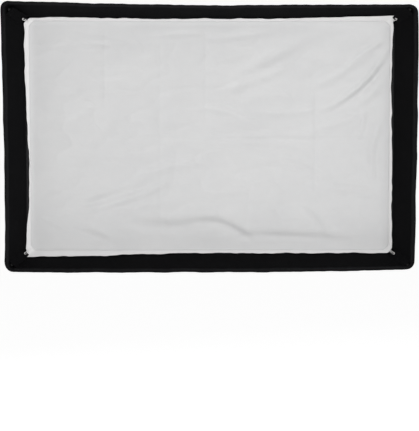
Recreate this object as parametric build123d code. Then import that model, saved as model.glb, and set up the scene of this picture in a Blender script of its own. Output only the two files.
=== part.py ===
from build123d import *
import os
from math import cos, radians, sin, sqrt

# A rectangular fabric softbox for studio lighting, on a rotating speed ring and a tilting stand bracket.
# All lengths are in millimetres. +Z is up, the lit face looks along -Y and the lamp enters from +Y.
# The origin is the centre of the stand socket's mouth, where the stud of a light stand goes in.
# "Depth" is measured forwards from the front face of the ring plate, so y = RING_Y - depth.

# ---- Driving dimensions: the fabric box ----
FACE_WIDTH = 920.0  # outside of the lip at its front edge
FACE_HEIGHT = 595.0
BOX_DEPTH = 440.0  # ring plate to the front edge of the lip
BACK_WIDTH = 129.0  # the fabric's flare, drawn back to the ring plate
BACK_HEIGHT = 102.0
BOW_WIDE = 15.0  # how far the sprung rods bow the flare outwards at mid depth
BOW_HIGH = 3.6
SHELL_START = 32.0  # depth of the shell's rear edge, where the collar begins
LIP_START = 360.0  # depth of the seam between shell and lip
DIFFUSER_DEPTH = 370.0
FLANGE_END = 384.0  # depth of the front edge of the diffuser's turned flange
SHELL_THICK = 0.8
LINING_THICK = 0.6
LIP_THICK = 1.0
CORNER_CLIP = 18.0  # leg of the triangle that a corner pocket closes off
POCKET_INSET = LIP_THICK + 0.3  # a corner pocket's outer face, from the lip's outer face
CLOTH_PATCH = 0.8  # thickness of pockets and keepers

# ---- Rods ----
ROD_R = 2.75
ROD_INSET_X = 6.5  # rod centre to the fabric's outer face, at the front
ROD_INSET_Z = 5.5
ROD_INSET_EXTRA = 4.0  # more inset at the ring, where the sockets need the room
ROD_START = 3.0  # depth where a rod bottoms in its socket
ROD_END = 420.0  # depth where a rod's front end stops
SOCKET_R = 5.2
SOCKET_BORE_R = 3.0
SOCKET_LENGTH = 34.0
TIP_R = 3.4
TIP_LENGTH = 11.0

# ---- Inner baffle ----
BAFFLE_DEPTH = 235.0
BAFFLE_HALF_X = 236.0
BAFFLE_HALF_Z = 140.0
BAFFLE_THICK = 0.6
ELASTIC_R = 1.5

# ---- Speed ring ----
RING_Y = -25.0  # front face of the ring plate
LAMP_R = 48.0  # clear bore for the lamp head
NECK_R = 52.5
PLATE_R = 78.0
PLATE_THICK = 8.0
STEP_R = 71.0
STEP_THICK = 10.0
HOUSING_R = 80.0
WEB_THICK = 5.0
RETAINER_SCREWS_R = (NECK_R + LAMP_R) / 2
INSERT_SCREWS_R = 64.0
RUNNING = 0.06  # radial clearance of a running fit
AIR = 0.3  # clearance between faces that pass each other

# ---- Stand bracket ----
STUD_R = 8.05  # socket for a 16 mm stand stud
SOCKET_DEPTH = 45.0
RECEIVER_R = 18.0
PIVOT_Z = 68.0
KNUCKLE_R = 15.0
TONGUE_HALF = 7.4
WASHER_THICK = 0.5
EAR_INNER = 8.0
EAR_OUTER = 15.0
BOLT_R = 4.0
RING_Z = PIVOT_Z + 135.0
EAR_DROP = 74.0  # ring axis to the top of the housing's foot
EAR_HEIGHT = 30.0
ARM_WIDTH = 46.0
ARM_BOLTS_X = (-14.0, 14.0)
ARM_BOLT_Z = RING_Z - EAR_DROP - 14.0
ARM_BOLT_R = 2.95

# ---- Clamp screws ----
STAND_SCREW_Z = 22.0
STAND_SCREW_R = 4.0
ROLL_SCREW_ANGLE = 0.0  # above horizontal, on the +X side
ROLL_SCREW_R = 3.0

BIG = 1200.0  # longer than anything that has to be cut
OVERRUN = 1.0  # a cutting shape runs past the part by this much
THREAD_GAP = 0.02  # a screw's radius is this much under its nominal size
CORNERS = {"top_left": (-1, 1), "top_right": (1, 1), "bottom_left": (-1, -1), "bottom_right": (1, -1)}
SIDES = ("top", "bottom", "left", "right")

os.makedirs("parts", exist_ok=True)


def write(name, *solids):
    """Writes one node from one solid or a group of separate ones."""
    found = [s for shape in solids for s in shape.solids()]
    export_step(found[0] if len(found) == 1 else Compound(found), f"parts/{name}.step")


# ---------------------------------------------------------------------------
# The flare: half width and half height of the fabric's outer face at a depth
# ---------------------------------------------------------------------------
def flare(depth, back, front, bow):
    t = depth / BOX_DEPTH
    return back + (front - back) * t + 4 * bow * t * (1 - t)


def half_x(depth):
    return flare(depth, BACK_WIDTH / 2, FACE_WIDTH / 2, BOW_WIDE)


def half_z(depth):
    return flare(depth, BACK_HEIGHT / 2, FACE_HEIGHT / 2, BOW_HIGH)


def steepness(half, depth):
    return (half(depth + 1) - half(depth - 1)) / 2


def place(x, depth, z):
    """A point given by its distance from the box's axis and its depth."""
    return Vector(x, RING_Y - depth, RING_Z + z)


def flare_curve(half, near, far, inset, point):
    """The flare's outline between two depths, moved inwards by inset, as one exact curve."""
    start, end = half(near) - inset, half(far) - inset
    middle = start + steepness(half, near) * (far - near) / 2
    return Bezier(point(start, near), point(middle, (near + far) / 2), point(end, far))


def outline_face(upper, lower):
    """The face between two curves that run the same way."""
    ends = Line(upper @ 1, lower @ 1) + Line(lower @ 0, upper @ 0)
    return make_face(upper + lower + ends)


def across(side, value, depth):
    """A point on the mid plane that a side's own profile is drawn in."""
    if side in ("top", "bottom"):
        return place(0, depth, value if side == "top" else -value)
    return place(value if side == "right" else -value, depth, 0)


def wedge(half, near, far, inset, tall):
    """The space between a pair of opposite sides of the flare: tall is True for top and bottom."""
    one = "top" if tall else "right"
    other = "bottom" if tall else "left"
    upper = flare_curve(half, near, far, inset, lambda v, d: across(one, v, d))
    lower = flare_curve(half, near, far, inset, lambda v, d: across(other, v, d))
    direction = (1, 0, 0) if tall else (0, 0, 1)
    return extrude(outline_face(upper, lower), amount=BIG, dir=direction, both=True)


def panel(side, near, far, outer, inner, margin):
    """A cloth panel on one side of the flare, between two depths and two insets.
    Its ends stop short of the neighbouring sides' outer faces by margin."""
    flat = side in ("top", "bottom")
    mine, theirs = (half_z, half_x) if flat else (half_x, half_z)
    outside = flare_curve(mine, near, far, outer, lambda v, d: across(side, v, d))
    inside = flare_curve(mine, near, far, inner, lambda v, d: across(side, v, d))
    direction = (1, 0, 0) if flat else (0, 0, 1)
    slab = extrude(outline_face(outside, inside), amount=BIG, dir=direction, both=True)
    return slab & wedge(theirs, near, far, margin, not flat)


def layer(name, near, far, outer, inner):
    """Four panels of one cloth layer: top and bottom reach the corners, the sides butt under them."""
    for side in SIDES:
        margin = outer if side in ("top", "bottom") else inner
        write(f"{name}_{side}", panel(side, near, far, outer, inner, margin))


def strips(near, far, outer, inner, margin):
    """Four straight strips round the flare that stop short of its corners."""
    return [panel(side, near, far, outer, inner, margin) for side in SIDES]


def corner_patch(corner, near, far, clip, gap, thick):
    """A strip of cloth across one corner, closing off a triangle with legs of length clip."""
    sx, sz = CORNERS[corner]
    faces = []
    for depth in (near, far):
        x, z = half_x(depth) - gap, half_z(depth) - gap
        shift = thick * sqrt(2)
        ring = [(x - clip, z), (x - clip + shift, z), (x, z - clip + shift), (x, z - clip)]
        points = [place(sx * px, depth, sz * pz) for px, pz in ring]
        faces.append(make_face(Polyline(*points, close=True)))
    return loft(faces, ruled=True)


# ---------------------------------------------------------------------------
# Small shapes
# ---------------------------------------------------------------------------
def bar(start, direction, length, radius):
    """A solid cylinder from a point along a direction."""
    frame = Plane(origin=start, z_dir=direction)
    return extrude(frame * Circle(radius), amount=length)


def tube(start, direction, length, outer, inner):
    frame = Plane(origin=start, z_dir=direction)
    return extrude(frame * (Circle(outer) - Circle(inner)), amount=length)


def cord(path, radius):
    """A round cord or rod along one edge."""
    frame = Plane(origin=path @ 0, z_dir=path % 0)
    return sweep(frame * Circle(radius), path=path)


def star_knob(start, direction, length, radius, lobes):
    """A moulded knob with finger scallops and a chamfered outer rim."""
    frame = Plane(origin=start, z_dir=direction)
    scallop = radius * 0.3
    outline = Circle(radius)
    for n in range(lobes):
        outline -= Rot(0, 0, 360 / lobes * n) * Pos(radius * 1.13, 0, 0) * Circle(scallop)
    body = extrude(outline, amount=length)
    body = chamfer(body.faces().sort_by(Axis.Z)[-1].edges(), length=1.2)
    return frame * body


# ---------------------------------------------------------------------------
# Cloth: shell, silver lining, recessed lip
# ---------------------------------------------------------------------------
def make_cloth():
    layer("shell", SHELL_START, LIP_START, 0, SHELL_THICK)
    layer("lining", SHELL_START, LIP_START, SHELL_THICK, SHELL_THICK + LINING_THICK)
    layer("lip", LIP_START, BOX_DEPTH, 0, LIP_THICK)


def make_lip_binding():
    """Bias tape folded over the front edge of the lip."""
    tape, wide = 0.7, 10.0
    rear = BOX_DEPTH - wide
    solids = []
    for side in SIDES:
        flat = side in ("top", "bottom")
        margin = -tape if flat else LIP_THICK + tape
        whole = panel(side, rear, BOX_DEPTH + tape, -tape, LIP_THICK + tape, margin)
        space = panel(side, rear - OVERRUN, BOX_DEPTH, 0, LIP_THICK, -5 * OVERRUN)
        if flat:
            for edge in ("left", "right"):
                space += panel(edge, rear - OVERRUN, BOX_DEPTH, 0, LIP_THICK, 0)
        solids.append(whole - space)
    write("lip_binding", *solids)


def make_corner_piping():
    """Round piping sewn along the outside of the four corner seams of the shell."""
    radius, stand_off, end_gap = 1.5, 1.9, 2.5
    near, far = SHELL_START + end_gap, LIP_START - end_gap
    solids = []
    for sx, sz in CORNERS.values():
        points = [
            place(sx * (half_x(d) + stand_off), d, sz * (half_z(d) + stand_off))
            for d in (near, (near + far) / 2, far)
        ]
        solids.append(cord(ThreePointArc(*points), radius))
    write("corner_piping", *solids)


def make_corner_pockets():
    """Reinforced patches in the corners of the lip that hold the rod tips."""
    near, far = LIP_START + 2, BOX_DEPTH - 11
    pockets = [corner_patch(corner, near, far, CORNER_CLIP, POCKET_INSET, CLOTH_PATCH) for corner in CORNERS]
    write("corner_pockets", *pockets)


def make_rod_keepers():
    """Short cloth bands across the inner corners that keep each rod against the seam."""
    gap, wide, clip = SHELL_THICK + LINING_THICK + 0.3, 26.0, 25.0
    keepers = [
        corner_patch(corner, depth, depth + wide, clip, gap, CLOTH_PATCH)
        for corner in CORNERS
        for depth in (120.0, 300.0)
    ]
    write("rod_keepers", *keepers)


# ---------------------------------------------------------------------------
# Front diffuser and its fastening
# ---------------------------------------------------------------------------
SHEET_THICK = 0.8
TAPE_THICK = 1.2
PILE_GAP = 0.6  # the pile between the two tapes' backings
# Outer and inner inset of each layer that lies on the lip's inner face.
LOOP_TAPE = (LIP_THICK, LIP_THICK + TAPE_THICK)
HOOK_TAPE = (LOOP_TAPE[1] + PILE_GAP, LOOP_TAPE[1] + PILE_GAP + TAPE_THICK)
FLANGE = (HOOK_TAPE[1], HOOK_TAPE[1] + SHEET_THICK)
TAPE_MARGIN = 20.5  # the tapes stop this far short of the neighbouring side
LOOP_START = FLANGE_END - 6.0  # depth where the corner loops leave the diffuser


def make_loop_tapes():
    write("loop_tapes", *strips(DIFFUSER_DEPTH - 2, FLANGE_END, *LOOP_TAPE, TAPE_MARGIN))


def make_front_diffuser():
    """The white front cloth: a sheet with clipped corners, and a flange turned forwards along the lip."""
    reach_x = half_x(DIFFUSER_DEPTH) - FLANGE[1]
    reach_z = half_z(DIFFUSER_DEPTH) - FLANGE[1]
    clearance = 0.9
    clip = CORNER_CLIP + 2 * POCKET_INSET + clearance - 2 * FLANGE[1]
    corner_points = []
    for sx, sz, first in ((1, 1, True), (1, -1, False), (-1, -1, True), (-1, 1, False)):
        pair = [(reach_x - clip, reach_z), (reach_x, reach_z - clip)]
        for px, pz in pair if first else reversed(pair):
            corner_points.append(place(sx * px, DIFFUSER_DEPTH, sz * pz))
    sheet = extrude(make_face(Polyline(*corner_points, close=True)), amount=SHEET_THICK, dir=(0, -1, 0))
    write("front_diffuser", sheet)
    write("diffuser_flange", *strips(DIFFUSER_DEPTH, FLANGE_END, *FLANGE, TAPE_MARGIN))
    write("hook_tapes", *strips(DIFFUSER_DEPTH, FLANGE_END, *HOOK_TAPE, TAPE_MARGIN))


def pocket_frame(corner, depth, stand_off):
    """A plane on a corner pocket's inner face: z points into the box, y runs up the flare to the front."""
    sx, sz = CORNERS[corner]
    slope = Vector(sx * steepness(half_x, depth), -1, sz * steepness(half_z, depth)).normalized()
    along = Vector(sx, 0, -sz).normalized()
    inward = along.cross(slope)
    if inward.X * sx > 0:
        along, inward = -along, -inward
    x = sx * (half_x(depth) - POCKET_INSET - CORNER_CLIP / 2)
    z = sz * (half_z(depth) - POCKET_INSET - CORNER_CLIP / 2)
    centre = place(x, depth, z) + inward * stand_off
    return Plane(origin=centre, x_dir=along, z_dir=inward)


def make_corner_loops():
    """Elastic loops at the diffuser's corners, each hooked round a button on the corner pocket."""
    cord_r, half_gap, leg, stand_off = 1.0, 2.75, 22.0, 0.5
    button_r, button_height = 1.5, 3.2
    loops, buttons = [], []
    for corner in CORNERS:
        frame = pocket_frame(corner, LOOP_START, cord_r + stand_off)
        path = Line((-half_gap, 0, 0), (-half_gap, leg, 0))
        path += ThreePointArc((-half_gap, leg, 0), (0, leg + half_gap, 0), (half_gap, leg, 0))
        path += Line((half_gap, leg, 0), (half_gap, 0, 0))
        start = Plane(origin=(-half_gap, 0, 0), z_dir=(0, 1, 0))
        loops.append(frame * sweep(start * Circle(cord_r), path=path))
        post = Pos(0, leg + 0.2, 0.1 - cord_r) * extrude(Circle(button_r), amount=button_height)
        buttons.append(frame * post)
    write("corner_loops", *loops)
    write("loop_buttons", *buttons)


# ---------------------------------------------------------------------------
# Rods, sockets and tips
# ---------------------------------------------------------------------------
def rod_point(corner, depth):
    sx, sz = CORNERS[corner]
    extra = ROD_INSET_EXTRA * (1 - depth / BOX_DEPTH)
    x = half_x(depth) - ROD_INSET_X - extra
    z = half_z(depth) - ROD_INSET_Z - extra
    return place(sx * x, depth, sz * z)


def rod_path(corner, near, far):
    return ThreePointArc(*(rod_point(corner, d) for d in (near, (near + far) / 2, far)))


def make_rods():
    """Fibreglass rods, the angled sockets they push into, the grub screws that pinch them and their caps."""
    back_run, rim_length, rim_lip = 12, 6, 0.6
    screw_place, screw_r, screw_length, thread_r = 22, 1.5, 5.0, 1.56
    sockets, screws, tips = [], [], []
    plate_face = Plane(origin=(0, RING_Y, RING_Z), z_dir=(0, -1, 0))
    front_half = extrude(plate_face * Rectangle(BIG, BIG), amount=BIG)
    for corner in CORNERS:
        write(f"rod_{corner}", cord(rod_path(corner, ROD_START, ROD_END), ROD_R))
        base = rod_point(corner, 0)
        direction = (rod_path(corner, 0, ROD_END) % 0).normalized()
        back = base - direction * back_run
        barrel = bar(back, direction, SOCKET_LENGTH + back_run, SOCKET_R)
        rim = bar(base + direction * (SOCKET_LENGTH - rim_length), direction, rim_length, SOCKET_R + rim_lip)
        hole = bar(base, direction, SOCKET_LENGTH + OVERRUN, SOCKET_BORE_R)
        screw_at = base + direction * screw_place
        inward = Vector(-base.X, 0, RING_Z - base.Z).normalized()
        inward = (inward - direction * inward.dot(direction)).normalized()
        tap = bar(screw_at, inward, 2 * SOCKET_R, thread_r)
        sockets.append(((barrel + rim) & front_half) - hole - tap)
        screws.append(bar(screw_at + inward * (ROD_R + 0.1), inward, screw_length, screw_r))
        end = rod_path(corner, ROD_START, ROD_END)
        tip = bar(end @ 1, end % 1, TIP_LENGTH - TIP_R, TIP_R)
        ball = Pos(*((end @ 1) + (end % 1).normalized() * (TIP_LENGTH - TIP_R))) * Sphere(TIP_R)
        tips.append(tip + ball)
    write("rod_sockets", *sockets)
    write("socket_screws", *screws)
    write("rod_tips", *tips)


# ---------------------------------------------------------------------------
# Inner baffle
# ---------------------------------------------------------------------------
def make_baffle():
    y = RING_Y - BAFFLE_DEPTH
    centre = Plane(origin=(0, y, RING_Z), x_dir=(1, 0, 0), z_dir=(0, -1, 0))
    sheet = extrude(centre * Rectangle(2 * BAFFLE_HALF_X, 2 * BAFFLE_HALF_Z), amount=BAFFLE_THICK)
    write("inner_baffle", sheet)

    tape, wide = 0.5, 12.0
    front = Plane(origin=(0, y - BAFFLE_THICK, RING_Z), x_dir=(1, 0, 0), z_dir=(0, -1, 0))
    hem = Rectangle(2 * BAFFLE_HALF_X, 2 * BAFFLE_HALF_Z)
    hem -= Rectangle(2 * (BAFFLE_HALF_X - wide), 2 * (BAFFLE_HALF_Z - wide))
    write("baffle_hem", extrude(front * hem, amount=tape))

    grip_r, grip_length, grip_fit = 3.45, 8, 0.08
    arm_start, arm_length, arm_r = 3.3, 7, 1.6
    eye_place, eye_r, eye_hole_r, eye_thick = 12.5, 4.0, 2.0, 3
    elastics, clips = [], []
    for corner, (sx, sz) in CORNERS.items():
        rod = rod_point(corner, BAFFLE_DEPTH)
        direction = (rod_path(corner, ROD_START, ROD_END) % 0.55).normalized()
        start_y = y - BAFFLE_THICK - tape - ELASTIC_R - 0.4
        start = Vector(sx * (BAFFLE_HALF_X - 2), start_y, RING_Z + sz * (BAFFLE_HALF_Z - 2))
        toward = (start - rod).normalized()
        grip = tube(rod - direction * grip_length / 2, direction, grip_length, grip_r, ROD_R + grip_fit)
        arm = bar(rod + toward * arm_start, toward, arm_length, arm_r)
        eye_at = rod + toward * eye_place
        eye = tube(eye_at - direction * eye_thick / 2, direction, eye_thick, eye_r, eye_hole_r)
        rod_room = bar(rod - direction * 1.5 * arm_start, direction, 3 * arm_start, ROD_R + grip_fit)
        clips.append((grip + arm + eye) - rod_room)
        stop = eye_at + toward * (eye_r + 0.3)
        elastics.append(cord(Line(start, stop), ELASTIC_R))
    write("baffle_elastics", *elastics)
    write("baffle_clips", *clips)


# ---------------------------------------------------------------------------
# Speed ring
# ---------------------------------------------------------------------------
def ring_part(start_depth, length, outer, inner):
    """A ring round the box's axis that starts at a depth and runs backwards."""
    return tube(place(0, start_depth, 0), (0, 1, 0), length, outer, inner)


def round_screws(depth, radius, count, first_angle, head_r, head_length, shank_r, shank_length):
    """Screws on a circle, heads at the given depth; a positive length runs backwards."""
    direction = Vector(0, 1, 0) if shank_length > 0 else Vector(0, -1, 0)
    screws = []
    for n in range(count):
        a = radians(first_angle + 360 / count * n)
        at = place(radius * cos(a), depth, radius * sin(a))
        head = bar(at - direction * head_length, direction, head_length, head_r)
        screws.append(head + bar(at, direction, abs(shank_length), shank_r))
    return screws


def drill(shape, depth, radius, count, first_angle, hole_r, length, direction):
    for n in range(count):
        a = radians(first_angle + 360 / count * n)
        at = place(radius * cos(a), depth, radius * sin(a))
        shape -= bar(at - Vector(*direction) * 0.01, direction, length, hole_r)
    return shape


def roll_screw_axis():
    a = radians(ROLL_SCREW_ANGLE)
    return Vector(cos(a), 0, sin(a)), -(PLATE_THICK + STEP_THICK / 2)


def make_foot(front_y):
    """The tongue under the housing that bolts to the tilt arm."""
    foot = Pos(0, front_y, RING_Z - EAR_DROP - EAR_HEIGHT / 2) * Box(ARM_WIDTH, WEB_THICK, EAR_HEIGHT)
    return fillet(foot.edges().filter_by(Axis.Y).sort_by(Axis.Z)[:2], 8)


def arm_bolt_holes(y):
    """Cutting bars for the two bolts between the housing's foot and the tilt arm."""
    return [bar(Vector(x, y, ARM_BOLT_Z), (0, 1, 0), 30, ARM_BOLT_R + 0.05) for x in ARM_BOLTS_X]


def make_housing():
    """The fixed half of the ring: a neck inside the plate, a cup round its step and a foot for the arm."""
    web_start = -(PLATE_THICK + STEP_THICK + AIR)
    housing = ring_part(AIR, -web_start + AIR + WEB_THICK, NECK_R, LAMP_R)
    housing += ring_part(web_start, WEB_THICK, HOUSING_R, LAMP_R)
    cup_start = -(PLATE_THICK + AIR)
    housing += ring_part(cup_start, cup_start - web_start, HOUSING_R, STEP_R + AIR)
    foot_y = RING_Y - web_start + WEB_THICK / 2
    housing += make_foot(foot_y)
    outward, depth = roll_screw_axis()
    seat = place(0, depth, 0)
    boss_start, boss_length, boss_r = HOUSING_R - 2, 8, 4.6
    housing += bar(seat + outward * boss_start, outward, boss_length, boss_r)
    housing -= bar(seat + outward * (STEP_R - 0.5), outward, 20, ROLL_SCREW_R + RUNNING)
    housing = drill(housing, AIR, RETAINER_SCREWS_R, 6, 30, 1.1, 9, (0, 1, 0))
    housing = drill(housing, web_start - WEB_THICK, INSERT_SCREWS_R, 3, 90, 1.6, 4.5, (0, -1, 0))
    for hole in arm_bolt_holes(foot_y - 10):
        housing -= hole
    write("ring_housing", housing)


def make_bayonet_insert(back):
    """The changeable steel adapter: a flange, a neck and three lugs that the lamp's bayonet turns behind."""
    bore = LAMP_R + 0.8
    flange_r, flange_thick = 70, 2.5
    neck_r, neck_length = 56, 10
    lug_r, lug_thick, lug_width, lug_reach = 62, 3, 34, 30
    insert = ring_part(back, flange_thick, flange_r, bore)
    insert += ring_part(back - flange_thick, neck_length, neck_r, bore)
    lug_depth = back - flange_thick - neck_length + lug_thick
    lugs = ring_part(lug_depth, lug_thick, lug_r, bore)
    for n in range(3):
        a = radians(120 * n + 30)
        at = place(cos(a) * neck_r, lug_depth, sin(a) * neck_r)
        lug_frame = Plane(origin=at, x_dir=(cos(a), 0, sin(a)), z_dir=(0, 1, 0))
        insert += lugs & extrude(lug_frame * Rectangle(lug_reach, lug_width), amount=lug_thick)
    insert = drill(insert, back, INSERT_SCREWS_R, 3, 90, 1.7, 4, (0, 1, 0))
    write("bayonet_insert", insert)
    heads = round_screws(back - flange_thick, INSERT_SCREWS_R, 3, 90, 3.0, 1.8, 1.5, -6.5)
    write("insert_screws", *heads)


def make_speed_ring():
    plate = ring_part(0, PLATE_THICK, PLATE_R, NECK_R + RUNNING)
    plate += ring_part(-PLATE_THICK, STEP_THICK, STEP_R, NECK_R + RUNNING)
    write("ring_plate", plate)

    make_housing()
    ring_depth, ring_thick, ring_r, bore = AIR + 3, 3, 57, LAMP_R + 0.8
    ring = ring_part(ring_depth, ring_thick, ring_r, bore)
    ring = drill(ring, ring_depth, RETAINER_SCREWS_R, 6, 30, 1.15, 4, (0, 1, 0))
    write("retaining_ring", ring)
    screws = round_screws(ring_depth, RETAINER_SCREWS_R, 6, 30, 2.0, 1.4, 1.0, 10)
    write("retaining_screws", *screws)
    make_bayonet_insert(-(PLATE_THICK + STEP_THICK + AIR + WEB_THICK))


def make_collar():
    """The cloth sleeve that closes the shell round the ring plate, and the elastic that grips its rim."""
    thick = 1.0
    rear_r = PLATE_R + 0.3 + thick
    front = Plane(origin=place(0, SHELL_START, 0), x_dir=(1, 0, 0), z_dir=(0, 1, 0))
    rear = Plane(origin=place(0, 0, 0), x_dir=(1, 0, 0), z_dir=(0, 1, 0))
    wide, high = 2 * half_x(SHELL_START), 2 * half_z(SHELL_START)
    solids = []
    for inset in (0, thick):
        front_face = front * RectangleRounded(wide - 2 * inset, high - 2 * inset, 4 - inset)
        rear_face = rear * RectangleRounded(2 * (rear_r - inset), 2 * (rear_r - inset), rear_r - inset - 0.1)
        solids.append(loft([front_face, rear_face], ruled=True))
    write("rear_collar", solids[0] - solids[1])
    write("collar_elastic", ring_part(0, 6.0, rear_r + 0.6, PLATE_R + 0.05))


# ---------------------------------------------------------------------------
# Roll lock: a thumb screw through the housing that grips the ring plate
# ---------------------------------------------------------------------------
def make_roll_lock():
    outward, depth = roll_screw_axis()
    seat = place(0, depth, 0) + outward * (STEP_R + AIR)
    tip_length, screw_length, screw_r = 3, 22, ROLL_SCREW_R - THREAD_GAP
    knob_start, knob_length, knob_r, lobes = 20, 11, 11, 6
    write("roll_lock_tip", bar(seat, outward, tip_length, screw_r))
    write("roll_lock_screw", bar(seat + outward * tip_length, outward, screw_length, screw_r))
    knob = star_knob(seat + outward * knob_start, outward, knob_length, knob_r, lobes)
    knob -= bar(seat + outward * (knob_start - OVERRUN), outward, screw_length - knob_start + 4, screw_r)
    write("roll_lock_knob", knob)


# ---------------------------------------------------------------------------
# Tilt arm and stand receiver
# ---------------------------------------------------------------------------
def make_tilt_arm():
    pad_y = RING_Y + PLATE_THICK + STEP_THICK + AIR + WEB_THICK
    pad_thick = 8.0
    pad_top = RING_Z - EAR_DROP - 4
    pad_low = RING_Z - EAR_DROP - EAR_HEIGHT
    pad = Box(ARM_WIDTH, pad_thick, pad_top - pad_low)
    pad = Pos(0, pad_y + pad_thick / 2, (pad_top + pad_low) / 2) * pad
    pad = fillet(pad.edges().filter_by(Axis.Y), 5)
    knuckle = bar(Vector(-TONGUE_HALF, 0, PIVOT_Z), (1, 0, 0), 2 * TONGUE_HALF, KNUCKLE_R)
    profile = Polyline(
        (0, pad_y, pad_top - 6),
        (0, pad_y + pad_thick + 8, pad_top - 14),
        (0, KNUCKLE_R * 0.97, PIVOT_Z + 4),
        (0, -KNUCKLE_R * 0.97, PIVOT_Z + 4),
        (0, pad_y, pad_low - 1),
        close=True,
    )
    web = extrude(make_face(profile), amount=TONGUE_HALF, dir=(1, 0, 0), both=True)
    arm = pad + knuckle + web
    arm -= bar(Vector(-20, 0, PIVOT_Z), (1, 0, 0), 40, BOLT_R + RUNNING)
    for hole in arm_bolt_holes(pad_y - 10):
        arm -= hole
    write("tilt_arm", arm)
    make_arm_bolts(pad_y - WEB_THICK, pad_y + pad_thick)


def make_arm_bolts(front, rear):
    """Two socket-head bolts with hex nuts that clamp the housing's foot to the tilt arm."""
    head_r, head_length, socket_r, socket_depth = 5.0, 5, 2.5, 3
    nut_r, nut_length, shank_spare = 4.8, 4.5, 6
    shank_length = rear - front + shank_spare
    bolts = []
    for x in ARM_BOLTS_X:
        head_at = Vector(x, rear, ARM_BOLT_Z)
        socket_face = Plane(origin=head_at + Vector(0, head_length, 0), z_dir=(0, -1, 0))
        socket = extrude(socket_face * RegularPolygon(socket_r, 6), amount=socket_depth)
        head = bar(head_at, (0, 1, 0), head_length, head_r) - socket
        nut_face = Plane(origin=(x, front, ARM_BOLT_Z), z_dir=(0, -1, 0))
        nut = extrude(nut_face * RegularPolygon(nut_r, 6), amount=nut_length)
        shank = bar(Vector(x, front - shank_spare, ARM_BOLT_Z), (0, 1, 0), shank_length, ARM_BOLT_R)
        bolts.append(head + nut + shank)
    write("arm_bolts", *bolts)


def make_receiver():
    floor = PIVOT_Z - KNUCKLE_R - 1.5
    body = bar(Vector(0, 0, 0), (0, 0, 1), floor, RECEIVER_R)
    fork = Pos(0, 0, floor / 2 + PIVOT_Z / 2 - 3) * Box(2 * EAR_OUTER, 2 * KNUCKLE_R, PIVOT_Z - floor + 6)
    fork += bar(Vector(-EAR_OUTER, 0, PIVOT_Z), (1, 0, 0), 2 * EAR_OUTER, KNUCKLE_R)
    slot = Pos(0, 0, floor + 50) * Box(2 * EAR_INNER, 60, 100)
    body += fork
    body -= slot
    boss_start, boss_length, boss_r = RECEIVER_R - 6, 18, 10
    body += bar(Vector(0, boss_start, STAND_SCREW_Z), (0, 1, 0), boss_length, boss_r)
    body -= bar(Vector(0, 0, 0), (0, 0, 1), SOCKET_DEPTH, STUD_R)
    body -= bar(Vector(0, 0, STAND_SCREW_Z), (0, 1, 0), 60, STAND_SCREW_R + RUNNING)
    body -= bar(Vector(-40, 0, PIVOT_Z), (1, 0, 0), 80, BOLT_R + RUNNING)
    mouth = body.edges().filter_by(GeomType.CIRCLE).group_by(Axis.Z)[0].sort_by(SortBy.RADIUS)
    body = chamfer(mouth[-1], length=1.2)
    write("stand_receiver", body)

    near = TONGUE_HALF + 0.05
    starts = (-near - WASHER_THICK, near)
    washer_r, hole_r = 13, BOLT_R + 0.15
    washers = [tube(Vector(x, 0, PIVOT_Z), (1, 0, 0), WASHER_THICK, washer_r, hole_r) for x in starts]
    write("friction_washers", *washers)


def on_pivot(x):
    """A point on the tilt axis."""
    return Vector(x, 0, PIVOT_Z)


def make_pivot():
    """The hex bolt through the fork, its washer, and the ratchet lever that tightens it."""
    head_r, head_length, thread_length = 7.5, 5.3, 26
    washer_thick = 1.2
    hex_face = Plane(origin=on_pivot(-EAR_OUTER), z_dir=(-1, 0, 0))
    head = extrude(hex_face * RegularPolygon(head_r, 6), amount=head_length)
    head = chamfer(head.faces().sort_by(Axis.X)[0].edges(), length=0.6)
    bolt = head + bar(on_pivot(-EAR_OUTER), (1, 0, 0), EAR_OUTER + thread_length, BOLT_R)
    write("pivot_bolt", bolt)
    write("pivot_washer", tube(on_pivot(EAR_OUTER), (1, 0, 0), washer_thick, 9.5, BOLT_R + 0.15))
    make_lever(EAR_OUTER + washer_thick + AIR)


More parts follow.
